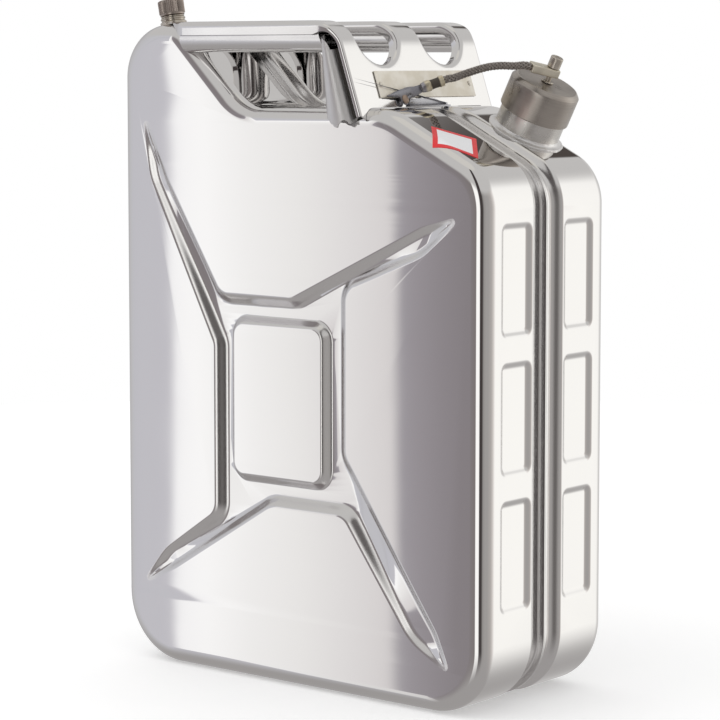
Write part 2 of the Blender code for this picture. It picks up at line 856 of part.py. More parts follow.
# The folded saddle that bridges the seam in front of the end plate
def add_saddle():
    mesh_work = bmesh.new()
    out = seat_gap + saddle_wall
    floor = dip_height + seat_gap + saddle_wall
    heel_x = plate_foot_x - (floor - dip_height) * math.tan(plate_lean) + out / math.cos(plate_lean)
    round_y = (saddle_rear_y + saddle_top_rear_y) / 2
    round_rise = saddle_end_height + 0.7 * (saddle_height - saddle_end_height)
    stations = (
        (saddle_rear_y, saddle_end_height),
        (round_y, round_rise),
        (saddle_top_rear_y, saddle_height),
        (saddle_top_front_y, saddle_height),
        (saddle_front_y, saddle_end_height),
    )
    lines = []
    for across, rise in stations:
        tip = Vector((heel_x + saddle_lip, across, floor))
        heel = Vector((heel_x, across, floor))
        raised = rise - (floor - dip_height) / math.cos(plate_lean)
        top = heel + handle_point(foot_travel - raised, across, 0) - handle_point(foot_travel, across, 0)
        lines.append(add_verts(mesh_work, [tip, heel, top]))
    for line, other in zip(lines, lines[1:]):
        mesh_work.faces.new((line[0], line[1], other[1], other[0]))
        mesh_work.faces.new((line[1], line[2], other[2], other[1]))
    saddle = add_object("seam_saddle", mesh_work, steel)
    thicken(saddle, saddle_wall)
    return saddle


# Pieces on the end plate

def add_name_plate():
    mesh_work = bmesh.new()
    bmesh.ops.create_cube(mesh_work, size=1)
    size = (name_plate_width, name_plate_height, name_plate_wall)
    bmesh.ops.scale(mesh_work, vec=size, verts=mesh_work.verts)
    plate = add_object("name_plate", mesh_work, pale_metal)
    out = seat_gap + name_plate_wall / 2
    plate.matrix_world = plate_place(name_plate_centre_y, name_plate_rise, out)
    return plate


# A rivet through the end plate: head outside, shank, and a small tail behind the sheet.
# Returns its profile as radius and height over the plate.
def rivet_profile(shank, head_radius, head_bottom, head):
    tail_top = -sheet_wall - seat_gap
    tail = tail_top - head
    return [
        (0, tail),
        (head_radius, tail),
        (head_radius, tail_top),
        (shank, tail_top),
        (shank, head_bottom),
        (head_radius, head_bottom),
        (head_radius * 0.7, head_bottom + head),
        (0, head_bottom + head),
    ]


def add_name_rivets(sheet, plate):
    reach = name_plate_width / 2 - name_rivet_inset
    out = seat_gap + name_plate_wall + seat_gap
    profile = rivet_profile(name_rivet_radius, name_rivet_radius + name_rivet_head, out, name_rivet_head)
    for name, side in (("name_rivet_front", -1), ("name_rivet_back", 1)):
        place = plate_place(name_plate_centre_y + side * reach, name_plate_rise, 0)
        rivet = add_turned(name, profile, pale_metal, sides=12)
        rivet.matrix_world = place
        bore = name_rivet_radius + seat_gap
        cutter = add_cutter_rod(f"{name}_cutter", bore, -tube_edge, tube_edge, place, sides=12)
        cut(sheet, cutter)
        cut(plate, cutter)


# The cable's flattened end: a strip along the plate with an eye for the rivet. Each station
# is its place across the can, its rise, its height over the plate, and its two half widths.
def add_tongue(sheet):
    out = 2 * seat_gap + max(name_plate_wall, saddle_wall)
    eye = rivet_head_radius + eye_margin
    eye_low = tongue_rise - rivet_rise + eye
    stations = (
        (ferrule_end_y - 0.0050, ferrule_end_rise - 0.0014, ferrule_end_out - 0.0030, 0.0036, 0.0036),
        (ferrule_end_y - 0.0090, tongue_rise + 0.0010, out + 0.0002, 0.0040, 0.0042),
        (rivet_y + eye, tongue_rise + 0.0005, out, 0.0040, 0.0048),
        (rivet_y + eye * 0.6, tongue_rise, out, 0.0038, eye_low - eye * 0.2),
        (rivet_y, tongue_rise, out, 0.0034, eye_low),
        (rivet_y - eye * 0.6, tongue_rise, out, 0.0030, eye_low - eye * 0.2),
        (rivet_y - eye, tongue_rise - 0.0002, out, 0.0026, 0.0030),
        (tongue_tip_y, tongue_rise - 0.0016, out, 0.0006, 0.0006),
    )
    mesh_work = bmesh.new()
    lower, way = ferrule_line()[1:]
    upwards = Vector((-math.sin(plate_lean), 0, math.cos(plate_lean)))
    upwards = (upwards - way * upwards.dot(way)).normalized() * ferrule_radius * 0.7
    outwards = way.cross(upwards).normalized() * tongue_wall / 2
    centre = lower + way * seat_gap
    ring = []
    for up, lift in ((1, 1), (1, -1), (-1, -1), (-1, 1)):
        ring.append(centre + upwards * up + outwards * lift)
    rings = [add_verts(mesh_work, ring)]
    for across, rise, height, up, low in stations:
        ring = []
        for way, lift in ((up, 0), (up, tongue_wall), (-low, tongue_wall), (-low, 0)):
            ring.append(handle_point(foot_travel - rise - way, across, -(height + lift)))
        rings.append(add_verts(mesh_work, ring))
    for ring, other in zip(rings, rings[1:]):
        skin(mesh_work, ring, other)
    mesh_work.faces.new(rings[0])
    mesh_work.faces.new(rings[-1])
    tongue = add_object("tether_tongue", mesh_work, dark_steel, out=Vector((1, 0, 0)))

    place = plate_place(rivet_y, rivet_rise, 0)
    head_bottom = out + tongue_wall + seat_gap
    profile = rivet_profile(rivet_radius, rivet_head_radius, head_bottom, rivet_head)
    rivet = add_turned("tether_rivet", profile, brown_metal, sides=16)
    rivet.matrix_world = place
    cutter = add_cutter_rod("rivet_cutter", rivet_radius + seat_gap, -tube_edge, tube_edge, place, sides=16)
    cut(sheet, cutter)
    cut(tongue, cutter)


# Tether

# A straight round piece between two points
def add_bar(name, start, end, profile, material, sides=24):
    mesh_work = bmesh.new()
    turned(mesh_work, profile, sides)
    bar = add_object(name, mesh_work, material)
    along = (end - start).normalized()
    bar.matrix_world = Matrix.Translation(start) @ along.to_track_quat("Z", "Y").to_matrix().to_4x4()
    return bar


# A smooth curve through points, sampled at about an even step
def smooth_route(points, first_way, last_way, step):
    count = len(points)
    ways = []
    for index in range(count):
        if index == 0:
            ways.append(first_way * (points[1] - points[0]).length)
        elif index == count - 1:
            ways.append(last_way * (points[-1] - points[-2]).length)
        else:
            ways.append((points[index + 1] - points[index - 1]) / 2)
    route = [points[0]]
    for index in range(count - 1):
        start, end = points[index], points[index + 1]
        pieces = max(2, round((end - start).length / step))
        for piece in range(1, pieces + 1):
            t = piece / pieces
            route.append(
                start * (2 * t**3 - 3 * t**2 + 1)
                + ways[index] * (t**3 - 2 * t**2 + t)
                + end * (3 * t**2 - 2 * t**3)
                + ways[index + 1] * (t**3 - t**2)
            )
    return route


def add_tube_curve(name, points, radius, resolution, material, parent=None):
    curve = bpy.data.curves.new(name, "CURVE")
    curve.dimensions = "3D"
    curve.bevel_depth = radius
    curve.bevel_resolution = resolution
    curve.use_fill_caps = True
    spline = curve.splines.new("POLY")
    spline.points.add(len(points) - 1)
    for spot, point in zip(spline.points, points):
        spot.co = (*point, 1.0)
    curve.materials.append(material)
    made = bpy.data.objects.new(name, curve)
    bpy.context.scene.collection.objects.link(made)
    made.parent = parent
    return made


# The way from the cap bolt along the block, in the cap's own axes
def block_way():
    return Vector((math.cos(block_turn), math.sin(block_turn), 0))


# The ferrule's two ends and its way down to the flattened end of the cable
def ferrule_line():
    upper = handle_point(foot_travel - ferrule_start_rise, ferrule_start_y, -ferrule_start_out)
    lower = handle_point(foot_travel - ferrule_end_rise, ferrule_end_y, -ferrule_end_out)
    return upper, lower, (lower - upper).normalized()


def add_cable():
    way = (neck_place.to_3x3() @ block_way()).normalized()
    middle = (block_bottom + block_top) / 2
    start = neck_place @ (Vector((0, 0, middle)) + block_way() * (block_length - block_tail + seat_gap))
    upper, lower, ferrule_way = ferrule_line()
    end = upper - ferrule_way * seat_gap
    points = [start + way * cable_radius]
    for share, sideways, rise in cable_route:
        points.append(start.lerp(end, share) + Vector((0, sideways, rise)))
    points.append(end - ferrule_way * cable_radius)
    route = [start, *smooth_route(points, way, ferrule_way, cable_step), end]
    add_tube_curve("tether_cable", route, cable_radius, 2, braided_steel)
    length = sum((b - a).length for a, b in zip(route, route[1:]))
    print(f"cable length {length * 1000:.1f} mm")
    reach = (lower - upper).length
    profile = [
        (0, 0),
        (ferrule_radius, 0),
        (ferrule_radius, reach * 0.82),
        (ferrule_radius * 0.8, reach),
        (0, reach),
    ]
    add_bar("tether_ferrule", upper, lower, profile, zinc, sides=20)


def add_block(axis):
    mesh_work = bmesh.new()
    bmesh.ops.create_cube(mesh_work, size=1)
    size = (block_length, block_width, block_height)
    bmesh.ops.scale(mesh_work, vec=size, verts=mesh_work.verts)
    shift = (block_length / 2 - block_tail, 0, (block_bottom + block_top) / 2)
    bmesh.ops.translate(mesh_work, vec=shift, verts=mesh_work.verts)
    bmesh.ops.bevel(
        mesh_work,
        geom=mesh_work.edges,
        offset=block_bevel,
        segments=1,
        affect="EDGES",
    )
    bmesh.ops.rotate(mesh_work, matrix=Matrix.Rotation(block_turn, 3, "Z"), verts=mesh_work.verts)
    block = add_object("tether_block", mesh_work, zinc, parent=axis)
    bore = cap_bolt_neck + seat_gap
    cutter = add_cutter_rod("block_cutter", bore, cap_top, block_top + block_height, neck_place, sides=16)
    cut(block, cutter)
    return block


# Neck and cap, each in the neck's own axes

def add_neck(body_cutter, axis):
    root = -bead_height * 2
    profile = [
        (neck_bore, root),
        (bead_radius, root),
        (bead_radius, bead_height * 0.3),
        (neck_radius + (bead_radius - neck_radius) * 0.4, bead_height * 0.8),
        (neck_radius, bead_height),
        (neck_radius, neck_top),
        (neck_bore, neck_top),
    ]
    neck = add_turned("neck", profile, steel, parent=axis)
    cut(neck, body_cutter)
    return neck


# A perforated cup that hangs in the neck from a flange
def add_arrester(axis):
    mesh_work = bmesh.new()
    tube = neck_bore - arrester_clearance
    flange = neck_radius - arrester_clearance / 3
    bottom = arrester_top - arrester_length
    heights = [arrester_top - arrester_length * row / arrester_rows for row in range(arrester_rows + 1)]
    rings = []
    for radius, height in [(flange, arrester_top)] + [(tube, height) for height in heights]:
        ring = []
        for side in range(arrester_sides):
            angle = math.tau * side / arrester_sides
            ring.append(Vector((radius * math.cos(angle), radius * math.sin(angle), height)))
        rings.append(add_verts(mesh_work, ring))
    for row, (ring, other) in enumerate(zip(rings, rings[1:])):
        holed = row > 1 and row % 2 == 0 and row < arrester_rows
        skipped = range(0, arrester_sides, 2) if holed else ()
        skin(mesh_work, ring, other, skipped)
    tip = mesh_work.verts.new((0, 0, bottom))
    for side in range(arrester_sides):
        mesh_work.faces.new((rings[-1][side], rings[-1][(side + 1) % arrester_sides], tip))
    arrester = add_object("flame_arrester", mesh_work, steel, out=Vector((0, 0, -1)), parent=axis)
    thicken(arrester, arrester_wall)
    return arrester


def add_cap(axis):
    skirt = neck_radius + cap_clearance
    shoulder = cap_top - cap_chamfer
    lip = 0.0006
    profile = [
        (cap_bore, cap_underside),
        (skirt, cap_underside),
        (skirt, cap_skirt_bottom),
        (cap_radius - lip, cap_skirt_bottom),
        (cap_radius, cap_skirt_bottom + lip),
        (cap_radius, shoulder),
        (cap_radius - cap_chamfer, cap_top),
        (cap_bore, cap_top),
    ]
    add_turned("screw_cap", profile, brushed_steel, parent=axis, sides=40)

    outer = neck_radius - gasket_clearance
    gasket = [
        (outer - gasket_width, gasket_bottom),
        (outer, gasket_bottom),
        (outer, gasket_bottom + gasket_wall),
        (outer - gasket_width, gasket_bottom + gasket_wall),
    ]
    add_turned("cap_gasket", gasket, black_rubber, parent=axis)


# A spring loaded disc on a seat in a cup under the cap. Pressure lifts it towards the cap.
def add_valve(axis):
    top = cap_underside - seat_gap
    bore = cap_bolt_radius + valve_bolt_clearance
    floor = top - valve_spring_room - valve_disc_wall
    cup = [
        (valve_cup_radius - valve_cup_wall, top),
        (valve_cup_radius - valve_cup_wall, floor),
        (valve_seat_radius, floor),
        (valve_seat_radius, floor - valve_cup_wall),
        (valve_cup_radius, floor - valve_cup_wall),
        (valve_cup_radius, top),
    ]
    add_turned("valve_cup", cup, steel, parent=axis, sides=24)
    disc_bottom = floor + seat_gap
    disc_top = disc_bottom + valve_disc_wall
    disc = [
        (bore, disc_bottom),
        (valve_disc_radius, disc_bottom),
        (valve_disc_radius, disc_top),
        (bore, disc_top),
    ]
    add_turned("valve_disc", disc, brushed_steel, parent=axis, sides=24)

    spring_bottom = disc_top + seat_gap + valve_spring_wire
    spring_top = top - valve_spring_wire
    per_curl = 10
    points = []
    for step in range(valve_spring_curls * per_curl + 1):
        angle = math.tau * step / per_curl
        share = step / (valve_spring_curls * per_curl)
        height = spring_bottom + (spring_top - spring_bottom) * share
        points.append(
            Vector((valve_spring_radius * math.cos(angle), valve_spring_radius * math.sin(angle), height))
        )
    add_tube_curve("valve_spring", points, valve_spring_wire, 1, brushed_steel, parent=axis)
    least = least_own_gap(points, per_curl) - 2 * valve_spring_wire
    print(f"valve spring least gap to itself {least * 1000:.2f} mm")


# The least distance between points that lie at least half a curl apart on a wire
def least_own_gap(points, per_curl):
    least = 1.0
    for index, point in enumerate(points):
        for other in points[index + per_curl // 2 :]:
            least = min(least, (other - point).length)
    return least


def add_cap_bolt(axis):
    foot_top = cap_underside - seat_gap - valve_spring_room - valve_disc_wall - valve_cup_wall - seat_gap
    neck_bottom = block_bottom - seat_gap
    head_bottom = block_top + seat_gap
    head_top = head_bottom + cap_bolt_head
    chamfer = 0.0006
    profile = [
        (0, foot_top - cap_bolt_foot),
        (cap_bolt_foot_radius, foot_top - cap_bolt_foot),
        (cap_bolt_foot_radius, foot_top),
        (cap_bolt_radius, foot_top),
        (cap_bolt_radius, neck_bottom),
        (cap_bolt_neck, neck_bottom),
        (cap_bolt_neck, head_bottom),
        (cap_bolt_head_radius, head_bottom),
        (cap_bolt_head_radius, head_top - chamfer),
        (cap_bolt_head_radius - chamfer, head_top),
        (0, head_top),
    ]
    add_turned("cap_bolt", profile, steel, parent=axis, sides=20)
    bottom = cap_top + seat_gap
    washer = [
        (cap_bolt_radius + seat_gap, bottom),
        (washer_radius, bottom),
        (washer_radius, bottom + washer_wall),
        (cap_bolt_radius + seat_gap, bottom + washer_wall),
    ]
    add_turned("cap_washer", washer, steel, parent=axis, sides=20)


# Vent screw on the hump, in its own axes

def add_vent(body_cutter, axis):
    root = -vent_boss_height / 2
    groove = vent_radius - vent_groove
    boss = [
        (vent_bore, root),
        (vent_radius, root),
        (vent_radius, vent_boss_height * 0.45),
        (groove, vent_boss_height * 0.6),
        (groove, vent_boss_height * 0.75),
        (vent_radius - vent_groove / 2, vent_boss_height * 0.85),
        (vent_radius - vent_groove / 2, vent_boss_height),
        (vent_bore, vent_boss_height),
    ]
    made = add_turned("vent_boss", boss, steel, parent=axis, sides=24)
    cut(made, body_cutter)

    stem = vent_bore - vent_stem_clearance
    seal_bottom = vent_boss_height + seat_gap
    seal_top = seal_bottom + vent_seal_wall
    seal = [
        (stem + seat_gap, seal_bottom),
        (vent_seal_radius, seal_bottom),
        (vent_seal_radius, seal_top),
        (stem + seat_gap, seal_top),
    ]
    add_turned("vent_seal", seal, black_rubber, parent=axis, sides=24)

    bottom = seal_top + seat_gap
    top = bottom + vent_cap_height
    chamfer = 0.0008
    mesh_work = bmesh.new()
    sides = 2 * vent_ribs
    levels = (
        (0, bottom - vent_stem_length, False),
        (stem, bottom - vent_stem_length, False),
        (stem, bottom, False),
        (vent_radius - chamfer, bottom, False),
        (vent_radius, bottom + chamfer, True),
        (vent_radius, top - chamfer, True),
        (vent_radius - chamfer, top, False),
        (0, top, False),
    )
    rings = []
    for radius, height, ribbed in levels:
        if radius == 0:
            rings.append([mesh_work.verts.new((0, 0, height))])
            continue
        ring = []
        for side in range(sides):
            angle = math.tau * side / sides
            reach = radius - (vent_rib_depth if ribbed and side % 2 else 0)
            ring.append(Vector((reach * math.cos(angle), reach * math.sin(angle), height)))
        rings.append(add_verts(mesh_work, ring))
    for ring, other in zip(rings[1:-1], rings[2:-1]):
        skin(mesh_work, ring, other)
    for wide, tip in ((rings[1], rings[0][0]), (rings[-2], rings[-1][0])):
        for side in range(sides):
            mesh_work.faces.new((wide[side], wide[(side + 1) % sides], tip))
    add_object("vent_screw", mesh_work, brown_metal, parent=axis)


clear_scene()
steel = make_material("polished steel", (0.78, 0.77, 0.76), 1.0, 0.16)
brushed_steel = make_material("brushed steel", (0.50, 0.47, 0.44), 1.0, 0.38)
dark_steel = make_material("flattened wire", (0.45, 0.47, 0.55), 1.0, 0.35)
braided_steel = make_material("braided wire", (0.42, 0.40, 0.38), 1.0, 0.45)
zinc = make_material("zinc", (0.74, 0.69, 0.57), 1.0, 0.40)
brown_metal = make_material("knurled metal", (0.43, 0.36, 0.31), 1.0, 0.45)
pale_metal = make_material("ivory plate", (0.78, 0.72, 0.62), 0.3, 0.50)
black_rubber = make_material("black rubber", (0.03, 0.03, 0.03), 0.0, 0.70)

neck_axis = add_axis("neck_axis", neck_place)
vent_axis = add_axis("vent_axis", vent_place)
outside = add_body_cutter()

front_shell = add_shell("front_shell", -1)
vent_hole = add_cutter_rod("vent_hole_cutter", vent_bore, -0.01, 0.01, vent_place, sides=24)
cut(front_shell, vent_hole)
back_shell = add_shell("back_shell", 1)
neck_hole = add_cutter_rod("neck_hole_cutter", neck_bore, -0.01, 0.01, neck_place)
cut(back_shell, neck_hole)

handle_sheet = add_handle_sheet(outside)
vent_room = add_cutter_rod("vent_room_cutter", vent_radius + vent_room_gap, -0.02, 0.02, vent_place)
cut(handle_sheet, vent_room)
outer_inside = slot_centre + slot_width / 2 + sheet_wall + seat_gap
outer_outside = handle_half_width - sheet_wall - seat_gap
outer_middle = (outer_inside + outer_outside) / 2
outer_radius = (outer_outside - outer_inside) / 2
centre_radius = slot_centre - slot_width / 2 - sheet_wall - seat_gap
for label, bar in zip(("front", "centre", "back"), handle_bars):
    tube_radius = outer_radius if bar else centre_radius
    tube = add_tube(f"handle_tube_{label}", bar * outer_middle, tube_radius, outside)
    if bar:
        cut(tube, add_leg_cutter(bar))
        add_leg(f"handle_leg_{label}", bar)
add_saddle()
name_plate = add_name_plate()
add_name_rivets(handle_sheet, name_plate)
add_tongue(handle_sheet)
add_cable()
add_block(neck_axis)
add_neck(outside, neck_axis)
add_arrester(neck_axis)
add_cap(neck_axis)
add_valve(neck_axis)
add_cap_bolt(neck_axis)
add_vent(outside, vent_axis)
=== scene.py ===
import math

import bmesh
import bpy
from mathutils import Matrix, Vector
from mathutils.geometry import tessellate_polygon


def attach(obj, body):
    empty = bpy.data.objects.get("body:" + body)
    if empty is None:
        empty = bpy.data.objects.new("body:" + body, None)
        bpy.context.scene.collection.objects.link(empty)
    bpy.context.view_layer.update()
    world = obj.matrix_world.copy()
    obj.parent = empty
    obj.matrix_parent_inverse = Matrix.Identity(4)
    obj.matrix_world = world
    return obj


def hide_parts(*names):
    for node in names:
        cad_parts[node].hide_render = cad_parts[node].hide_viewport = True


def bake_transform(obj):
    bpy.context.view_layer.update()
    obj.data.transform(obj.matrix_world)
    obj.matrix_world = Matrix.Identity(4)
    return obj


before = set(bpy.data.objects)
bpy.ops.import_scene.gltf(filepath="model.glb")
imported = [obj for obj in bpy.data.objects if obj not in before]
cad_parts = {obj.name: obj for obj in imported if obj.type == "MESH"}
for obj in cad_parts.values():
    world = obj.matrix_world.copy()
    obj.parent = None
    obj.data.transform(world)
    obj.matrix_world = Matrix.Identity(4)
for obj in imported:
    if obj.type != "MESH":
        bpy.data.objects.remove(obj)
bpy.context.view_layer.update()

print("frame loaded")

# Shared sizes of the can, in metres
can = {
    "length": 0.345,
    "thickness": 0.150,
    "faceRadius": 0.0125,
    "shoulderSlope": math.radians(27),
    "shoulderHeight": 0.380,
    "dipHeight": 0.425,
    "humpHeight": 0.4854,
    "wall": 0.0010,
    "humpFoot": -0.0515,  # where the rise to the hump starts
    "humpRise": math.radians(44),
    # corners from the rear foot to the front foot, over the shoulder and back along the top
    "cornerRadii": (0.052, 0.050, 0.040, 0.060, 0.040, 0.020, 0.040),
    "cornerSteps": 26,
    "seatGap": 0.0003,  # between pieces that lie on each other
    "neckInset": 0.0512,  # from the narrow side
    "neckEdge": 0.0320,  # from the back
    "ventInset": 0.0325,
    "ventEdge": 0.0250,
}
halfLength = can["length"] / 2
halfThickness = can["thickness"] / 2
seatGap = can["seatGap"]


def shoulderHeightAt(x):
    return can["shoulderHeight"] + (halfLength - x) * math.tan(can["shoulderSlope"])


# Where the neck and the vent stand, with Z along their axes
neckX = halfLength - can["neckInset"]
neckBase = Vector((neckX, halfThickness - can["neckEdge"], shoulderHeightAt(neckX)))
neckPlace = Matrix.Translation(neckBase) @ Matrix.Rotation(can["shoulderSlope"], 4, "Y")
humpRadius = can["cornerRadii"][-1]
ventTilt = math.asin(can["ventInset"] / humpRadius - 1)
ventHeight = can["humpHeight"] - humpRadius * (1 - math.cos(ventTilt))
ventBase = Vector((can["ventInset"] - halfLength, can["ventEdge"] - halfThickness, ventHeight))
ventPlace = Matrix.Translation(ventBase) @ Matrix.Rotation(ventTilt, 4, "Y")

# The camera, fitted to the photograph: degrees, metres and pixels
view = {
    "azimuth": 39.231,
    "distance": 1.966665,
    "height": 0.46057,
    "tilt": 5.237,
    "focal": 2644.41,
    "middle": (358.713, 300.0),
    "picture": 720,
    "sensor": 36,
    "nearest": 0.05,
    "furthest": 50,
}


def addCamera():
    data = bpy.data.cameras.new("camera")
    size = view["picture"]
    data.sensor_width = view["sensor"]
    data.lens = view["focal"] / size * view["sensor"]
    data.shift_x = (size / 2 - view["middle"][0]) / size
    data.shift_y = (view["middle"][1] - size / 2) / size
    data.clip_start = view["nearest"]
    data.clip_end = view["furthest"]
    camera = bpy.data.objects.new("camera", data)
    bpy.context.scene.collection.objects.link(camera)
    turn = math.radians(view["azimuth"])
    away = view["distance"]
    camera.location = (away * math.sin(turn), -away * math.cos(turn), view["height"])
    camera.rotation_euler = (math.pi / 2 - math.radians(view["tilt"]), 0, turn)
    bpy.context.scene.camera = camera


addCamera()
print("camera placed")


# One socket of a node tree, which adds Math nodes when it is used in a sum
class Value:
    def __init__(self, finish, socket):
        self.finish = finish
        self.socket = socket

    def __add__(self, other):
        return self.finish.calc("ADD", self, other)

    def __radd__(self, other):
        return self.finish.calc("ADD", other, self)

    def __sub__(self, other):
        return self.finish.calc("SUBTRACT", self, other)

    def __rsub__(self, other):
        return self.finish.calc("SUBTRACT", other, self)

    def __mul__(self, other):
        return self.finish.calc("MULTIPLY", self, other)

    def __rmul__(self, other):
        return self.finish.calc("MULTIPLY", other, self)

    def __pow__(self, other):
        return self.finish.calc("POWER", self, other)


# A material or a world whose nodes are added in code
class Finish:
    def __init__(self, owner, shader):
        self.owner = owner
        owner.use_nodes = True
        self.tree = owner.node_tree
        self.shader = self.tree.nodes[shader]

    def add(self, kind, settings=None, inputs=None, output=0):
        node = self.tree.nodes.new("ShaderNode" + kind)
        for name, value in (settings or {}).items():
            if name == "stops":
                ramp = node.color_ramp.elements
                while len(ramp) < len(value):
                    ramp.new(0.5)
                for element, (place, colour) in zip(ramp, value):
                    element.position = place
                    element.color = (*colour, 1)
            else:
                setattr(node, name, value)
        for name, value in (inputs or {}).items():
            self.join(value, node.inputs[name])
        return Value(self, node.outputs[output])

    def join(self, value, socket):
        if isinstance(value, Value):
            self.tree.links.new(value.socket, socket)
        elif isinstance(value, tuple) and socket.type == "RGBA":
            socket.default_value = (*value, 1)
        else:
            socket.default_value = value

    def set(self, **values):
        for name, value in values.items():
            self.join(value, self.shader.inputs[name.replace("_", " ")])

    def calc(self, operation, first, second=0.5):
        return self.add("Math", {"operation": operation}, {0: first, 1: second})

    def axes(self, vector):
        node = self.add("SeparateXYZ", None, {"Vector": vector}).socket.node
        return [Value(self, node.outputs[name]) for name in "XYZ"]

    def place(self, scale=(1, 1, 1)):
        return self.add("Mapping", None, {"Vector": self.add("TexCoord", output="Object"), "Scale": scale})

    def axesAt(self, place):
        # coordinates on a piece that stands at the given place
        inputs = {"Vector": self.add("TexCoord", output="Object")}
        inputs["Location"] = tuple(place.to_translation())
        inputs["Rotation"] = tuple(place.to_euler())
        return self.axes(self.add("Mapping", {"vector_type": "TEXTURE"}, inputs))

    def noise(self, spot, scale, detail):
        return self.add("TexNoise", None, {"Vector": spot, "Scale": scale, "Detail": detail})

    def mix(self, share, first, second):
        return self.add("Mix", {"data_type": "RGBA"}, {0: share, 6: first, 7: second}, output=2)

    def between(self, value, low, high, outLow=0.0, outHigh=1.0):
        inputs = {0: value, 1: low, 2: high, 3: outLow, 4: outHigh}
        return self.add("MapRange", {"interpolation_type": "SMOOTHSTEP"}, inputs)

    def bump(self, height):
        self.set(Normal=self.add("Bump", None, {"Height": height, "Strength": 1.0, "Distance": 1.0}))


def newFinish(name, colour, metallic, roughness):
    finish = Finish(bpy.data.materials.new(name), "Principled BSDF")
    finish.set(Base_Color=colour, Metallic=metallic, Roughness=roughness)
    return finish


# Selects a piece alone
def choose(piece):
    bpy.ops.object.select_all(action="DESELECT")
    bpy.context.view_layer.objects.active = piece
    piece.select_set(True)


# Adds a modifier with its settings and applies it
def modify(piece, kind, **settings):
    modifier = piece.modifiers.new(kind.lower(), kind)
    for name, value in settings.items():
        setattr(modifier, name, value)
    choose(piece)
    bpy.ops.object.modifier_apply(modifier=modifier.name)


def thicken(piece, wall):
    modify(piece, "SOLIDIFY", thickness=wall, offset=-1, use_even_offset=True)


def cutAway(piece, cutter):
    modify(piece, "BOOLEAN", operation="DIFFERENCE", object=cutter)


def remove(piece):
    bpy.data.objects.remove(piece, do_unlink=True)


def placeMesh(piece, matrix):
    piece.data.transform(matrix @ piece.matrix_world)
    piece.matrix_world = Matrix.Identity(4)


def editAll(piece):
    choose(piece)
    bpy.ops.object.mode_set(mode="EDIT")
    bpy.ops.mesh.select_all(action="SELECT")


def leaveEdit():
    bpy.ops.object.mode_set(mode="OBJECT")


# Turns a profile of (radius, height) pairs round the Z axis
def spinProfile(name, profile, steps, close=False):
    bpy.ops.object.select_all(action="DESELECT")
    bpy.ops.mesh.primitive_plane_add(size=0.001, location=(0, 0, 0))
    piece = bpy.context.object
    piece.name = name
    editAll(piece)
    bpy.ops.mesh.merge(type="CENTER")
    radius, height = profile[0]
    bpy.ops.transform.translate(value=(radius, 0, height))
    for nextRadius, nextHeight in profile[1:] + profile[:1] * close:
        move = (nextRadius - radius, 0, nextHeight - height)
        bpy.ops.mesh.extrude_region_move(TRANSFORM_OT_translate={"value": move})
        radius, height = nextRadius, nextHeight
    bpy.ops.mesh.select_all(action="SELECT")
    bpy.ops.mesh.spin(steps=steps, angle=math.tau, center=(0, 0, 0), axis=(0, 0, 1))
    bpy.ops.mesh.select_all(action="SELECT")
    bpy.ops.mesh.remove_doubles(threshold=0.000002)
    bpy.ops.mesh.normals_make_consistent(inside=False)
    leaveEdit()
    return piece


# A block with rounded edges
def roundedBlock(name, size, bevel, segments):
    bpy.ops.object.select_all(action="DESELECT")
    bpy.ops.mesh.primitive_cube_add(size=1, location=(0, 0, 0))
    piece = bpy.context.object
    piece.name = name
    editAll(piece)
    bpy.ops.transform.resize(value=size)
    bpy.ops.mesh.bevel(offset=bevel, segments=segments, affect="EDGES")
    leaveEdit()
    return piece


# Makes an object of the mesh, with the face that lies furthest out turned outwards
def meshPiece(name, meshWork, out):
    bmesh.ops.recalc_face_normals(meshWork, faces=meshWork.faces)
    meshWork.normal_update()
    furthest = max(meshWork.faces, key=lambda face: face.calc_center_median().dot(out))
    if furthest.normal.dot(out) < 0:
        bmesh.ops.reverse_faces(meshWork, faces=meshWork.faces)
    mesh = bpy.data.meshes.new(name)
    meshWork.to_mesh(mesh)
    meshWork.free()
    piece = bpy.data.objects.new(name, mesh)
    bpy.context.scene.collection.objects.link(piece)
    return piece


# Smooths, paints and files a finished piece
def finishPiece(piece, body, finish, nodes=(), slot="polished_steel", angle=40, weighted=True):
    choose(piece)
    bpy.ops.object.shade_smooth_by_angle(angle=math.radians(angle))
    if weighted:
        modify(piece, "WEIGHTED_NORMAL", keep_sharp=True)
    paint(piece, finish)
    if body:
        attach(piece, body)
    if nodes:
        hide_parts(*nodes)


def paint(piece, finish):
    piece.data.materials.clear()
    piece.data.materials.append(finish.owner)


# A turned piece, set in its place and finished
# Steps round each turned piece
turnSteps = {
    "nameRivetFront": 32,
    "nameRivetBack": 32,
    "tetherRivet": 40,
    "ferrule": 48,
    "blockHole": 24,
    "neckTube": 128,
    "neckWeld": 256,
    "screwCap": 160,
    "capBolt": 72,
    "capWasher": 64,
    "ventBoss": 96,
    "ventSeal": 64,
}


def turnedPiece(name, profile, place, body, finish, node, close=False, **settings):
    piece = spinProfile(name, profile, turnSteps[name], close)
    placeMesh(piece, place)
    finishPiece(piece, body, finish, [node], **settings)


def addVerts(meshWork, points):
    return [meshWork.verts.new(point) for point in points]


def skinPair(meshWork, ring, other, skipped=(), closed=True):
    for index in range(len(ring) if closed else len(ring) - 1):
        if index not in skipped:
            after = (index + 1) % len(ring)
            meshWork.faces.new((ring[index], ring[after], other[after], other[index]))


# Faces from each line of vertices to the next, and over the first and the last
def skin(meshWork, rings, closed=True, capped=False):
    for ring, other in zip(rings, rings[1:]):
        skinPair(meshWork, ring, other, closed=closed)
    if capped:
        meshWork.faces.new(rings[0])
        meshWork.faces.new(rings[-1])


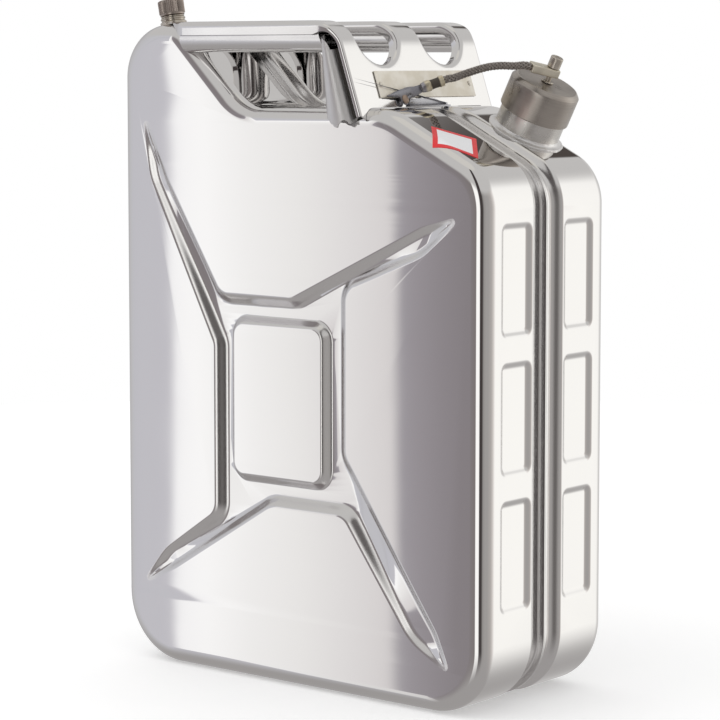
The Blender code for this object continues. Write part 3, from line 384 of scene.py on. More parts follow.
# A sheet through lines of points, with its wall inwards
def sheetThrough(name, lines, out, wall):
    meshWork = bmesh.new()
    skin(meshWork, [addVerts(meshWork, line) for line in lines], closed=False)
    piece = meshPiece(name, meshWork, Vector(out))
    thicken(piece, wall)
    return piece


def fillFlat(meshWork, loops):
    verts = joined(loops)
    for triangle in tessellate_polygon([[vert.co for vert in loop] for loop in loops]):
        meshWork.faces.new([verts[index] for index in triangle])


def joined(groups):
    return [point for group in groups for point in group]


def ease(share):
    share = min(max(share, 0.0), 1.0)
    return share * share * (3 - 2 * share)


def blended(low, high, share):
    return low + (high - low) * share


def shares(steps):
    return [step / steps for step in range(steps + 1)]


def quarterTurn(steps):
    return [math.pi / 2 * share for share in shares(steps)]


# Rounded corners of an outline, one list of points for each corner (x, z, radius, steps)
def roundedGroups(corners, insets):
    count = len(corners)
    if not isinstance(insets, list):
        insets = [insets] * count
    groups = []
    for index, corner in enumerate(corners):
        radius, steps = corner[2:4]
        here = Vector(corner[:2])
        wayIn = (here - Vector(corners[index - 1][:2])).normalized()
        wayOut = (Vector(corners[(index + 1) % count][:2]) - here).normalized()
        leftIn = Vector((-wayIn.y, wayIn.x))
        leftOut = Vector((-wayOut.y, wayOut.x))
        here = here + (leftIn + leftOut) * insets[index] / (1 + leftIn.dot(leftOut))
        turn = math.atan2(wayIn.x * wayOut.y - wayIn.y * wayOut.x, wayIn.dot(wayOut))
        side = 1 if turn > 0 else -1
        bent = max(radius - side * insets[index], 0.0004)
        start = here - wayIn * bent * math.tan(abs(turn) / 2)
        centre = start + leftIn * bent * side
        turns = [Matrix.Rotation(turn * share, 2) for share in shares(steps)]
        groups.append([centre + rotation @ (start - centre) for rotation in turns])
    return groups


# How fine the patterns on metal are, in repeats to the metre
patterns = {
    "waves": 9.0,
    "ripples": 26.0,
    "rippleShare": 0.25,
    "grain": 2600.0,
    "smudges": 14.0,
    "rings": 1500.0,
    "ringClouds": 70.0,
    "cloudHeight": 0.000005,
    "scratches": 1100.0,
    "stains": 120.0,
    "stainHeight": 0.000012,
}


# Polished sheet with slow waves and a fine grain, rougher where it was pressed
def polishedSteel(name, roughness, wave, grain, pressed=0.0):
    finish = newFinish(name, (0.80, 0.79, 0.785), 1.0, roughness)
    spot = finish.place()
    height = finish.noise(spot, patterns["waves"], 1.0) * wave
    height = height + finish.noise(spot, patterns["ripples"], 1.0) * (wave * patterns["rippleShare"])
    fine = finish.noise(finish.place(scale=(1, 1, 0.08)), patterns["grain"], 2.0)
    finish.bump(height + fine * grain)
    smudge = finish.noise(spot, patterns["smudges"], 4.0)
    rough = finish.between(smudge, 0.3, 0.75, roughness * 0.85, roughness * 1.25)
    if pressed:
        worked = finish.add("Attribute", {"attribute_name": "pressed"}, output=2)
        rough = rough + worked * (pressed - roughness)
    finish.set(Roughness=rough)
    return finish


# Turned metal: fine rings round an axis that leans, on the side and on the flat top
def turnedSteel(name, colour, roughness, place, streak=0.000006, shade=0.84):
    finish = newFinish(name, colour, 1.0, roughness)
    x, y, z = finish.axesAt(place)
    reach = (x * x + y * y) ** 0.5
    spot = finish.add("CombineXYZ", None, {"X": reach, "Y": 0.0, "Z": z})
    lines = finish.noise(spot, patterns["rings"], 3.0)
    clouds = finish.noise(finish.place(), patterns["ringClouds"], 4.0)
    finish.bump(lines * streak + clouds * patterns["cloudHeight"])
    finish.set(Roughness=finish.between(clouds, 0.3, 0.7, roughness * 0.85, roughness * 1.2))
    share = finish.between(lines * 0.5 + clouds * 0.5, 0.38, 0.62)
    finish.set(Base_Color=finish.mix(share, tuple(part * shade for part in colour), colour))
    return finish


# Plain worked metal with faint scratches and cloudy stains
def workedSteel(name, colour, roughness, grain=0.000004, stretch=(1, 1, 1), shade=0.86):
    finish = newFinish(name, colour, 1.0, roughness)
    lines = finish.noise(finish.place(scale=stretch), patterns["scratches"], 3.0)
    clouds = finish.noise(finish.place(), patterns["stains"], 4.0)
    finish.bump(lines * grain + clouds * patterns["stainHeight"])
    finish.set(Roughness=finish.between(clouds, 0.3, 0.7, roughness * 0.85, roughness * 1.25))
    share = finish.between(clouds, 0.35, 0.65)
    finish.set(Base_Color=finish.mix(share, tuple(part * shade for part in colour), colour))
    return finish


# Plated collars at both ends of the ferrule, darker colour on the crimped part between them
def ferruleFinish(place, reach):
    finish = newFinish("ferruleFinish", (0.76, 0.68, 0.50), 1.0, 0.34)
    along = finish.axesAt(place)[2]
    clouds = finish.noise(finish.place(), 400.0, 3.0)
    first = finish.between(along, reach * 0.17, reach * 0.23)
    dark = first * (1 - finish.between(along, reach * 0.57, reach * 0.62))
    plated = finish.mix(finish.between(clouds, 0.35, 0.65), (0.66, 0.58, 0.42), (0.80, 0.73, 0.56))
    end = finish.between(along, reach * 0.78, reach * 0.90)
    plated = finish.mix(end, plated, (0.42, 0.41, 0.44))
    finish.set(Base_Color=finish.mix(dark, plated, (0.13, 0.115, 0.10)))
    finish.set(Roughness=0.30 + dark * 0.2)
    return finish


def ivoryPlate():
    finish = newFinish("ivoryFinish", (0.80, 0.76, 0.68), 0.55, 0.42)
    finish.bump(finish.noise(finish.place(scale=(1, 1, 0.03)), 1400.0, 3.0) * 0.000006)
    share = finish.between(finish.noise(finish.place(), 90.0, 4.0), 0.35, 0.7)
    finish.set(Base_Color=finish.mix(share, (0.74, 0.69, 0.59), (0.85, 0.81, 0.73)))
    return finish


# White vinyl with a red edge, told apart by the piece's own UV square
def stickerFinish():
    finish = newFinish("stickerFinish", (0.88, 0.88, 0.88), 0.0, 0.32)
    across, along = finish.axes(finish.add("UVMap", {"uv_map": "square"}))[:2]
    reach = finish.calc(
        "MAXIMUM", finish.calc("ABSOLUTE", across - 0.5), finish.calc("ABSOLUTE", along - 0.5)
    )
    inside = finish.between(reach, 0.385, 0.392)
    finish.set(Base_Color=finish.mix(inside, (0.86, 0.86, 0.87), (0.76, 0.030, 0.035)))
    return finish


bodySteel = polishedSteel("bodySteel", 0.026, 0.000016, 0.0000002, pressed=0.20)
handleSteel = polishedSteel("handleSteel", 0.08, 0.00004, 0.000002)
legSteel = polishedSteel("legSteel", 0.48, 0.00002, 0.000002)
pipeSteel = polishedSteel("pipeSteel", 0.11, 0.00003, 0.000004)
beadSteel = polishedSteel("beadSteel", 0.30, 0.0, 0.000003)
capSteel = turnedSteel("capSteel", (0.48, 0.44, 0.40), 0.30, neckPlace)
neckSteel = turnedSteel("neckSteel", (0.72, 0.70, 0.67), 0.26, neckPlace, 0.000003, 0.92)
knurlSteel = turnedSteel("knurlSteel", (0.46, 0.40, 0.36), 0.34, ventPlace)
boltSteel = workedSteel("boltSteel", (0.60, 0.55, 0.48), 0.22, 0.000001)
saddleSteel = workedSteel("saddleSteel", (0.50, 0.50, 0.53), 0.26, 0.000001)
zincFinish = workedSteel("zincFinish", (0.86, 0.81, 0.68), 0.34, 0.000012)
wireFinish = workedSteel("wireFinish", (0.42, 0.385, 0.36), 0.34, 0.000002)
tongueFinish = workedSteel("tongueFinish", (0.30, 0.30, 0.33), 0.26, 0.000012, (1, 0.08, 1))
rivetFinish = workedSteel("rivetFinish", (0.44, 0.34, 0.27), 0.38)
# near black: the cable's dark core, and painted shade on the strips in the gaps beside the legs
coreAndGapShade = newFinish("coreAndGapShade", (0.05, 0.045, 0.04), 0.6, 0.6)
rubberFinish = newFinish("rubberFinish", (0.028, 0.028, 0.028), 0.0, 0.7)
ivoryFinish = ivoryPlate()
vinylFinish = stickerFinish()
print("finishes ready")

# The two half shells
shell = {
    "faceSteps": 14,
    "channelTop": 0.0180,
    "channelFloor": 0.0110,
    "channelDepth": 0.0060,
    "channelLead": 0.0004,
    "channelSteps": 12,
    "channelWorked": 0.8,
    "channelSkirt": 3,  # rings over which it turns from polished to worked
    "flangeFace": 0.00115,
    "flangeHeight": 0.0050,
    "flangeFold": 0.0013,
    "flangeSteps": 5,
    "recessInner": 0.0200,
    "recessWidth": 0.0350,
    "recessHeight": 0.0790,
    "recessPitch": 0.0970,
    "recessBottom": 0.0734,
    "recessDepth": 0.0025,
    "recessSlope": 0.0036,
    "recessRadius": 0.0060,
    "recessLead": 0.0012,
    "recessSteps": 9,
    "recessCornerSteps": 8,
    "recessRows": 3,
}
cross = {
    "depth": 0.0065,
    "slope": 0.0070,
    "lead": 0.0014,
    "skirt": 0.12,  # share of a slope over which it turns from polished to worked
    "tipDepth": 0.0001,
    "tipSlope": 0.0014,
    "tipLead": 0.0012,
    "steps": 16,
    "radius": 0.0140,
    "panelX": -0.0162,
    "panelZ": 0.2094,
    "panelHalfWidth": 0.0480,
    "panelHalfHeight": 0.0618,
    "panelRadius": 0.0150,
    "panelSlope": 0.0058,
    "panelLead": 0.0007,
    "panelSteps": 12,
    "panelCornerSteps": 12,
    "gapSide": 0.0055,
    "gapFront": 0.0090,
    "gapEnd": 0.0080,
    "topShift": -0.0203,
    "bottomShift": 0.0282,
    "endHalf": 0.0350,
    "frontRise": 0.0866,
    "frontDrop": 0.0334,
    "rearRise": 0.0396,
    "rearDrop": 0.0874,
    "armTip": 0.0020,
    "armShoulder": 0.0450,
    "shoulderShare": 0.46,
    "wideRadius": 0.0230,
    "armAcross": 8,
    "armInner": 10,
    "armOuter": 14,
    "edgeSteps": 4,
    "innerSteps": 10,
    "shoulderSteps": 8,
    "tipSteps": 6,
    # each arm: its tip as seen from the body's corner, then its shoulders as seen from the tip
    "frontTop": ((-0.0205, -0.0285), (-0.034, -0.0285), (-0.034, -0.0090)),
    "rearTop": ((0.0225, -0.0614), (0.026, -0.0550), (0.009, -0.0530)),
    "rearBottom": ((0.0195, 0.0580), (0.025, 0.0300), (0.035, 0.0175)),
    "frontBottom": ((-0.0295, 0.0310), (-0.035, 0.0190), (-0.012, 0.0270)),
}


def bodyCorners():
    bendX = halfLength - (can["dipHeight"] - can["shoulderHeight"]) / math.tan(can["shoulderSlope"])
    humpX = can["humpFoot"] - (can["humpHeight"] - can["dipHeight"]) / math.tan(can["humpRise"])
    corners = (
        (-halfLength, 0),
        (halfLength, 0),
        (halfLength, can["shoulderHeight"]),
        (bendX, can["dipHeight"]),
        (can["humpFoot"], can["dipHeight"]),
        (humpX, can["humpHeight"]),
        (-halfLength, can["humpHeight"]),
    )
    return [(*corner, radius, can["cornerSteps"]) for corner, radius in zip(corners, can["cornerRadii"])]


def bodyRing(inset, across):
    return [Vector((point.x, across, point.y)) for point in joined(roundedGroups(bodyCorners(), inset))]


# Corners of the cross: x, z, radius, steps and how much of the full depth they have
def crossCorners():
    left = cross["panelX"] - cross["panelHalfWidth"] - cross["gapSide"] - cross["slope"]
    right = cross["panelX"] + cross["panelHalfWidth"] + cross["gapFront"] + cross["slope"]
    reach = cross["panelHalfHeight"] + cross["gapEnd"] + cross["slope"]
    low, high = cross["panelZ"] - reach, cross["panelZ"] + reach
    upper, lower = cross["panelX"] + cross["topShift"], cross["panelX"] + cross["bottomShift"]
    half, middle = cross["endHalf"], cross["panelZ"]

    def panel(across, along, radius=cross["radius"]):
        return [(across, along, radius, cross["innerSteps"], 1.0)]

    def arm(cornerX, cornerZ, tip, before, after):
        tipX, tipZ = cornerX + tip[0], cornerZ + tip[1]
        shoulder = (cross["armShoulder"], cross["shoulderSteps"], cross["shoulderShare"])
        return [
            (tipX + before[0], tipZ + before[1], *shoulder),
            (tipX, tipZ, cross["armTip"], cross["tipSteps"], 0.0),
            (tipX + after[0], tipZ + after[1], *shoulder),
        ]

    return (
        panel(right, middle + cross["frontRise"])
        + arm(halfLength, can["shoulderHeight"], *cross["frontTop"])
        + panel(upper + half, high, cross["wideRadius"])
        + panel(upper - half, high)
        + arm(-halfLength, can["humpHeight"], *cross["rearTop"])
        + panel(left, middle + cross["rearRise"])
        + panel(left, middle - cross["rearDrop"])
        + arm(-halfLength, 0, *cross["rearBottom"])
        + panel(lower - half, low, cross["wideRadius"])
        + panel(lower + half, low)
        + arm(halfLength, 0, *cross["frontBottom"])
        + panel(right, middle - cross["frontDrop"])
    )


# The outline of the cross at a share of its slope: groups of (x, z, depth) and edges between
def crossLoop(corners, share):
    def depthAt(part):
        return blended(cross["tipDepth"], cross["depth"], part) * ease(share)

    parts = [corner[4] for corner in corners]
    insets = []
    for part in parts:
        lead = blended(cross["tipLead"], cross["lead"], part)
        slope = blended(cross["tipSlope"], cross["slope"], part)
        insets.append(-lead + share * (slope + 2 * lead))
    groups = roundedGroups(corners, insets)
    pieces = []
    for index, group in enumerate(groups):
        part = parts[index]
        pieces.append([(point.x, point.y, depthAt(part)) for point in group])
        after = (index + 1) % len(groups)
        nextPart = parts[after]
        count = cross["armInner"] if 1.0 in (part, nextPart) else cross["armOuter"]
        if part == nextPart:
            count = cross["edgeSteps"]
        start, end = group[-1], groups[after][0]
        edge = []
        for way in shares(count)[1:-1]:
            spot = start + (end - start) * way
            edge.append((spot.x, spot.y, depthAt(blended(part, nextPart, ease(way)))))
        pieces.append(edge)
    return pieces


# Notes on the vertices how much they count as worked metal, which their finish reads
def markWorked(meshWork, ring, worked):
    layer = meshWork.verts.layers.float.get("pressed")
    for vert in ring:
        vert[layer] = worked


# On a pressed slope it is all worked in the middle, and polished at both ends
def markSlope(meshWork, ring, share):
    markWorked(meshWork, ring, ease(min(share, 1 - share) / cross["skirt"]))


# A rounded rectangle pressed in or out: rings over its slope and a flat middle
def pressBox(meshWork, box, radius, sizes, lay):
    lead, slope, steps, cornerSteps = sizes
    box = [(*corner, radius, cornerSteps) for corner in box]
    rings = []
    for share in shares(steps):
        points = joined(roundedGroups(box, -lead + share * (slope + 2 * lead)))
        rings.append(addVerts(meshWork, [lay(point.x, point.y, ease(share)) for point in points]))
    skin(meshWork, rings)
    fillFlat(meshWork, [rings[-1]])
    return rings


def pressCross(meshWork, faceRing, lay):
    corners = crossCorners()
    rings = []
    for share in shares(cross["steps"]):
        pieces = crossLoop(corners, share)
        floor = [addVerts(meshWork, [lay(*point) for point in piece]) for piece in pieces]
        rings.append(joined(floor))
        markSlope(meshWork, rings[-1], share)
    fillFlat(meshWork, [faceRing, rings[0]])
    skin(meshWork, rings)

    middle = []
    for index, corner in enumerate(corners):
        if corner[4] == 1.0:
            middle += floor[2 * index]
            if corners[(index + 1) % len(corners)][4] == 1.0:
                middle += floor[2 * index + 1]
        if corner[4] > 0:
            continue
        # the two sides of an arm, from its mouth to its tip, and lines between them
        tip = floor[2 * index]
        half = len(tip) // 2 + 1
        rise = [floor[2 * index - 4][-1]] + joined(floor[2 * index - way] for way in (3, 2, 1)) + tip[:half]
        fall = [floor[(2 * index + 4) % len(floor)][0]]
        fall += joined(floor[(2 * index + way) % len(floor)][::-1] for way in (3, 2, 1)) + tip[::-1][:half]
        lines = [rise]
        for share in shares(cross["armAcross"])[1:-1]:
            points = [a.co.lerp(b.co, share) for a, b in zip(rise[:-1], fall[:-1])]
            lines.append(addVerts(meshWork, points))
        lines.append(fall)
        last = len(rise) - 2
        for line, other in zip(lines, lines[1:]):
            skinPair(meshWork, line[: last + 1], other, closed=False)
            meshWork.faces.new((line[last], rise[-1], other[last]))
        middle += [line[0] for line in lines[1:-1]]

    width, height = cross["panelHalfWidth"], cross["panelHalfHeight"]
    left, right = cross["panelX"] - width, cross["panelX"] + width
    low, high = cross["panelZ"] - height, cross["panelZ"] + height
    panel = pressBox(
        meshWork,
        ((left, low), (right, low), (right, high), (left, high)),
        cross["panelRadius"],
        (cross["panelLead"], cross["panelSlope"], cross["panelSteps"], cross["panelCornerSteps"]),
        lambda x, z, share: lay(x, z, cross["depth"] * (1 - share)),
    )
    for share, ring in zip(shares(cross["panelSteps"]), panel):
        markSlope(meshWork, ring, share)
    fillFlat(meshWork, [middle, panel[0]])


# Three recesses one over another on a narrow side
def pressLadder(meshWork, strip, end, side):
    holes = []
    for row in range(shell["recessRows"]):
        low = shell["recessBottom"] + row * shell["recessPitch"]
        high = low + shell["recessHeight"]
        near = shell["recessInner"]
        far = near + shell["recessWidth"]
        rings = pressBox(
            meshWork,
            ((near, low), (far, low), (far, high), (near, high)),
            shell["recessRadius"],
            (shell["recessLead"], shell["recessSlope"], shell["recessSteps"], shell["recessCornerSteps"]),
            lambda y, z, share: Vector((end * (halfLength - shell["recessDepth"] * share), side * y, z)),
        )
        holes.append(rings[0])
    fillFlat(meshWork, [strip] + holes)


def halfShell(name, side):
    meshWork = bmesh.new()
    meshWork.verts.layers.float.new("pressed")
    rings = []
    radius = can["faceRadius"]
    for angle in quarterTurn(shell["faceSteps"]):
        across = halfThickness - radius + radius * math.cos(angle)
        rings.append(bodyRing(radius * (1 - math.sin(angle)), side * across))
    wallRing = len(rings) - 1
    top = shell["channelTop"] + shell["channelLead"]
    floor = shell["channelFloor"] - shell["channelLead"]
    for share in shares(shell["channelSteps"]):
        rings.append(bodyRing(shell["channelDepth"] * ease(share), side * blended(top, floor, share)))
    fold = shell["flangeFold"]
    for angle in quarterTurn(shell["flangeSteps"]):
        across = shell["flangeFace"] + fold * (1 - math.sin(angle))
        rings.append(bodyRing(shell["channelDepth"] - fold * (1 - math.cos(angle)), side * across))
    rings.append(bodyRing(shell["channelDepth"] - shell["flangeHeight"], side * shell["flangeFace"]))
    rings = [addVerts(meshWork, ring) for ring in rings]
    for place, ring in enumerate(rings[wallRing + 1 :]):
        markWorked(meshWork, ring, ease(place / shell["channelSkirt"]) * shell["channelWorked"])

    # the flat narrow sides are left open for the ladder's recesses
    perCorner = can["cornerSteps"] + 1
    edges = ((2 * perCorner - 1, 1), (7 * perCorner - 1, -1))
    for place, (ring, other) in enumerate(zip(rings, rings[1:])):
        skinPair(meshWork, ring, other, [start for start, end in edges] if place == wallRing else ())
    wall, edge = rings[wallRing], rings[wallRing + 1]
    for start, end in edges:
        after = (start + 1) % len(wall)
        pressLadder(meshWork, [wall[start], wall[after], edge[after], edge[start]], end, side)
    pressCross(meshWork, rings[0], lambda x, z, depth: Vector((x, side * (halfThickness - depth), z)))
    piece = meshPiece(name, meshWork, Vector((0, side, 0)))
    thicken(piece, can["wall"])
    finishPiece(piece, "can", bodySteel, [name.replace("Half", "_shell")])


halfShell("frontHalf", -1)
halfShell("backHalf", 1)
print("half shells pressed")

# The carrying handle
handle = {
    "top": 0.4870,
    "halfWidth": 0.0840,
    "wall": 0.0012,
    "bend": 0.0260,
    "lean": math.radians(19),
    "footX": 0.0647,
    "rearX": -0.1380,
    "rearHalf": 0.0580,
    "taperX": -0.1040,
    "slotRearX": -0.0960,
    "slotCentre": 0.0375,
    "slotWidth": 0.0460,
    "slotEndRise": 0.0333,
    "slotSteps": 12,
    "bendRows": 10,
    "rows": 8,
    "rimRadius": 0.0040,
    "rimSteps": 6,
    "rimDrop": 0.0080,
    "edgeRoll": 0.0050,
    "edgeSteps": 7,
    "edgeDrop": 0.0100,
    "plateEdgeRoll": 0.0026,
    "plateEdgeDrop": 0.0034,
    "edgeFade": 0.0200,
    "flapOverlap": 0.0150,
    "flapTrim": 0.62,  # beside the body the plate's end reaches less far over it
    "flapTrimStart": 0.0720,
    "flapTrimReach": 0.0060,
    "plateInset": 0.0042,  # how much narrower the end plate is
    "plateInsetStart": 0.0100,
    "tubeDepth": 0.0225,
    "tubeWrap": math.radians(24),  # past the half round
    "tubeSteps": 14,
    "tubeEndGap": 0.0009,
    "legFrontDrop": 0.0088,
    "legTopDrop": 0.0168,
    "legFootDrop": 0.0300,
    "legInnerGap": 0.0004,
    "legTopBulge": 0.0064,
    "legFootBulge": 0.0098,
    "legOverlap": 0.0080,
    "legSteps": 72,
    # how far the foot reaches down, by degrees round the channel from its front edge
    "legFoot": (
        (0, -0.0014), (20, -0.0003), (28, 0.0), (36, -0.0022), (44, -0.0034),
        (52, -0.0039), (62, -0.0032), (74, -0.0018), (85, 0.0002), (92, -0.0006),
        (105, -0.0036), (125, -0.0079), (150, -0.0095), (180, -0.0100),
    ),
    "legRoomInner": 0.0035,
    "legRoomShort": 0.0012,
    "gapInner": 0.0748,
    "gapOuter": 0.0768,
    "gapWall": 0.0008,
    "gapShort": 0.0030,
    "gapPast": 0.0006,
}
slotHalf = handle["slotWidth"] / 2
bendAngle = math.pi / 2 - handle["lean"]
bendEndZ = handle["top"] - handle["bend"] * (1 - math.cos(bendAngle))
bendStartX = handle["footX"] - (bendEndZ - can["dipHeight"]) * math.tan(handle["lean"])
bendStartX -= handle["bend"] * math.sin(bendAngle)
bendTravel = handle["bend"] * bendAngle
footTravel = bendTravel + (bendEndZ - can["dipHeight"]) / math.cos(handle["lean"])
downPlate = Vector((math.sin(handle["lean"]), 0, -math.cos(handle["lean"])))
legInner = halfThickness + seatGap + handle["legInnerGap"]


# The outer line of the handle: travel runs forwards and then down the end plate
def handlePoint(travel, across, drop):
    if travel < 0:
        return Vector((bendStartX + travel, across, handle["top"] - drop))
    angle = min(travel / handle["bend"], bendAngle)
    reach = handle["bend"] - drop
    x = bendStartX + reach * math.sin(angle)
    z = handle["top"] - handle["bend"] + reach * math.cos(angle)
    return Vector((x, across, z)) + downPlate * max(travel - bendTravel, 0)


# The end plate's line carried straight on above the bend
def platePoint(travel, across, drop):
    return handlePoint(bendTravel, across, drop) + downPlate * (travel - bendTravel)


# Axes on the end plate: X across the can, Y up the plate from its foot, Z out of the plate
def platePlace(across, rise, out):
    sideways = Vector((0, 1, 0))
    place = Matrix((sideways, -downPlate, sideways.cross(-downPlate))).transposed().to_4x4()
    place.translation = handlePoint(footTravel - rise, across, -out)
    return place


def slotEnds():
    return handle["slotRearX"] - bendStartX + slotHalf, footTravel - handle["slotEndRise"] - slotHalf


def slotLoop(middle, reach, rows):
    rear, front = slotEnds()
    turn = quarterTurn(handle["slotSteps"])
    turn = [-angle for angle in turn[:0:-1]] + turn
    points = [(front + reach * math.cos(a), middle + reach * math.sin(a)) for a in turn]
    points += [(row, middle + reach) for row in reversed(rows)]
    points += [(rear - reach * math.cos(a), middle + reach * math.sin(a)) for a in turn[::-1]]
    points += [(row, middle - reach) for row in rows]
    return points


def slotDistance(travel, across, reach):
    rear, front = slotEnds()
    nearest = min(max(travel, rear), front)
    return math.hypot(travel - nearest, abs(across) - handle["slotCentre"]) - reach


# Rows of the sheet from its rear end: travel, half width, how far the edge is rolled, its lip
def sheetRows(reach):
    rear, front = slotEnds()
    bendRows = [front * step / handle["bendRows"] for step in range(handle["bendRows"])]
    bendRows = [rear * share for share in (0.75, 0.5, 0.25)] + bendRows
    rows = []
    for share in shares(handle["rows"]):
        travel = blended(handle["rearX"], handle["taperX"], share) - bendStartX
        half = blended(handle["rearHalf"], handle["halfWidth"], share)
        rows.append((travel, half, max(0.0, 2 * share - 1), handle["edgeDrop"]))
    turn = quarterTurn(handle["slotSteps"])
    travels = [rear - reach * math.cos(angle) for angle in turn] + bendRows
    travels += [front + reach * math.sin(angle) for angle in turn]
    last = footTravel + handle["flapOverlap"]
    travels += [blended(travels[-1], last, share) for share in shares(handle["rows"])[1:]]
    for travel in travels:
        lip = blended(handle["edgeDrop"], handle["plateEdgeDrop"], ease(travel / handle["edgeFade"]))
        rows.append((travel, handle["halfWidth"], 1.0, lip))
    return rows, bendRows


def sheetColumns(reach):
    inner = handle["slotCentre"] - reach
    columns = [(inner / 2, 0), (inner, 0)]
    for share in shares(2 * handle["slotSteps"])[1:]:
        columns.append((handle["slotCentre"] - reach * math.cos(math.pi * share), 0))
    roll = handle["edgeRoll"]
    for angle in quarterTurn(handle["edgeSteps"]):
        columns.append((handle["halfWidth"] - roll + roll * math.sin(angle), roll * (1 - math.cos(angle))))
    return columns


# The plain outside of the body, a little larger, which trims what is welded on it
def bodyCutter(grown):
    meshWork = bmesh.new()
    radius = can["faceRadius"]
    turn = quarterTurn(shell["faceSteps"])
    rings = []
    for side, angles in ((-1, turn), (1, turn[::-1])):
        for angle in angles:
            across = side * (halfThickness - radius + (radius + grown) * math.cos(angle))
            rings.append(addVerts(meshWork, bodyRing(radius - (radius + grown) * math.sin(angle), across)))
    skin(meshWork, rings)
    fillFlat(meshWork, [rings[0]])
    fillFlat(meshWork, [rings[-1]])
    return meshPiece("trimmer", meshWork, Vector((0, 0, 1)))


def flapTravel(travel, across):
    past = max(travel - footTravel, 0)
    beside = ease((abs(across) - handle["flapTrimStart"]) / handle["flapTrimReach"])
    return travel - past * handle["flapTrim"] * beside


def handleSheet(trimmer):
    meshWork = bmesh.new()
    reach = slotHalf + handle["rimRadius"]
    rows, bendRows = sheetRows(reach)
    right = sheetColumns(reach)
    columns = [(-across, drop) for across, drop in right[::-1]] + [(0, 0)] + right
    grid = []
    spots = []
    for travel, half, share, lip in rows:
        scale = half / handle["halfWidth"]
        inset = handle["plateInset"] * ease((travel - handle["plateInsetStart"]) / handle["edgeFade"])
        edge = half + (1 - share) * handle["wall"] - inset
        # the rolled edge is tighter on the end plate
        tight = ease(travel / handle["edgeFade"]) * (1 - handle["plateEdgeRoll"] / handle["edgeRoll"])
        line = []
        for across, drop in columns:
            past = abs(across) - (handle["halfWidth"] - handle["edgeRoll"])
            if past >= 0:
                out = abs(across) + tight * (handle["edgeRoll"] - past) - inset
                across = math.copysign(out, across)
                drop *= 1 - tight
            line.append((across * scale, drop * share))
        line = [(-edge, lip * share)] + line + [(edge, lip * share)]
        spots.append([(travel, across) for across, drop in line])
        grid.append(addVerts(meshWork, [handlePoint(flapTravel(travel, spot[0]), *spot) for spot in line]))
    for row in range(len(grid) - 1):
        for column in range(len(grid[row]) - 1):
            cell = [(row, column), (row, column + 1), (row + 1, column + 1), (row + 1, column)]
            kept = [at for at in cell if slotDistance(*spots[at[0]][at[1]], reach) > -1e-6]
            if len(kept) > 2:
                meshWork.faces.new([grid[at[0]][at[1]] for at in kept])
    rim = handle["rimRadius"]
    loops = []
    for angle in quarterTurn(handle["rimSteps"]):
        loops.append((slotHalf + rim * (1 - math.sin(angle)), rim * (1 - math.cos(angle))))
    loops.append((slotHalf, handle["rimDrop"]))
    for middle in (-handle["slotCentre"], handle["slotCentre"]):
        rings = []
        for out, drop in loops:
            points = slotLoop(middle, out, bendRows)
            rings.append(addVerts(meshWork, [handlePoint(*point, drop) for point in points]))
        skin(meshWork, rings)
    bmesh.ops.remove_doubles(meshWork, verts=meshWork.verts, dist=1e-5)
    loose = [vert for vert in meshWork.verts if not vert.link_faces]
    bmesh.ops.delete(meshWork, geom=loose, context="VERTS")
    sheet = meshPiece("handleSheet", meshWork, Vector((0, 0, 1)))
    thicken(sheet, handle["wall"])
    cutAway(sheet, trimmer)
    return sheet


def rollExtra(past, radius):
    inside = radius - handle["wall"]
    return inside - math.sqrt(max(inside**2 - max(past, 0) ** 2, 0))


def sheetBackX(drop, extra):
    depth = handle["wall"] + handle["tubeEndGap"] + extra
    reach = handle["bend"] - depth
    rise = handle["bend"] - drop
    if rise > reach * math.cos(bendAngle):
        return bendStartX + math.sqrt(max(reach**2 - rise**2, 0))
    back = platePoint(bendTravel, 0, depth)
    return back.x + (back.z - (handle["top"] - drop)) * math.tan(handle["lean"])


# A half round channel under a bar, from the handle's taper to the back of the end plate
def handleTube(name, middle, radius, trimmer):
    past = handle["tubeWrap"]
    section = []
    for share in shares(2 * handle["tubeSteps"]):
        angle = (math.pi + 2 * past) * share - past
        drop = handle["tubeDepth"] - radius + radius * math.sin(angle)
        section.append((middle - radius * math.cos(angle), drop))
    ends = []
    rim = slotHalf + handle["rimRadius"]
    for across, drop in section:
        toRim = handle["slotCentre"] + rim - abs(across)
        if middle == 0:
            toRim = abs(across) - (handle["slotCentre"] - rim)
        extra = rollExtra(toRim, handle["rimRadius"])
        extra += rollExtra(abs(across) - (handle["halfWidth"] - handle["edgeRoll"]), handle["edgeRoll"])
        ends.append(sheetBackX(drop, extra))
    lines = []
    for share in shares(4):
        points = []
        for (across, drop), front in zip(section, ends):
            points.append((blended(handle["taperX"], front, share), across, handle["top"] - drop))
        lines.append(points)
    tube = sheetThrough(name, lines, (0, 0, -1), handle["wall"])
    cutAway(tube, trimmer)
    return tube


# Room that a leg takes out of the channel beside it
def legRoom(side):
    near = legInner - handle["legRoomInner"]
    far = handle["halfWidth"] + handle["legFootBulge"]
    low, high = -handle["wall"], handle["legTopDrop"] - handle["legRoomShort"]
    section = ((near, low), (far, low), (far, high), (near, high))
    meshWork = bmesh.new()
    rings = []
    for travel in (-handle["bend"], footTravel):
        rings.append(addVerts(meshWork, [platePoint(travel, side * y, drop) for y, drop in section]))
    skin(meshWork, rings, capped=True)
    return meshPiece("legRoom", meshWork, Vector((0, side, 0)))


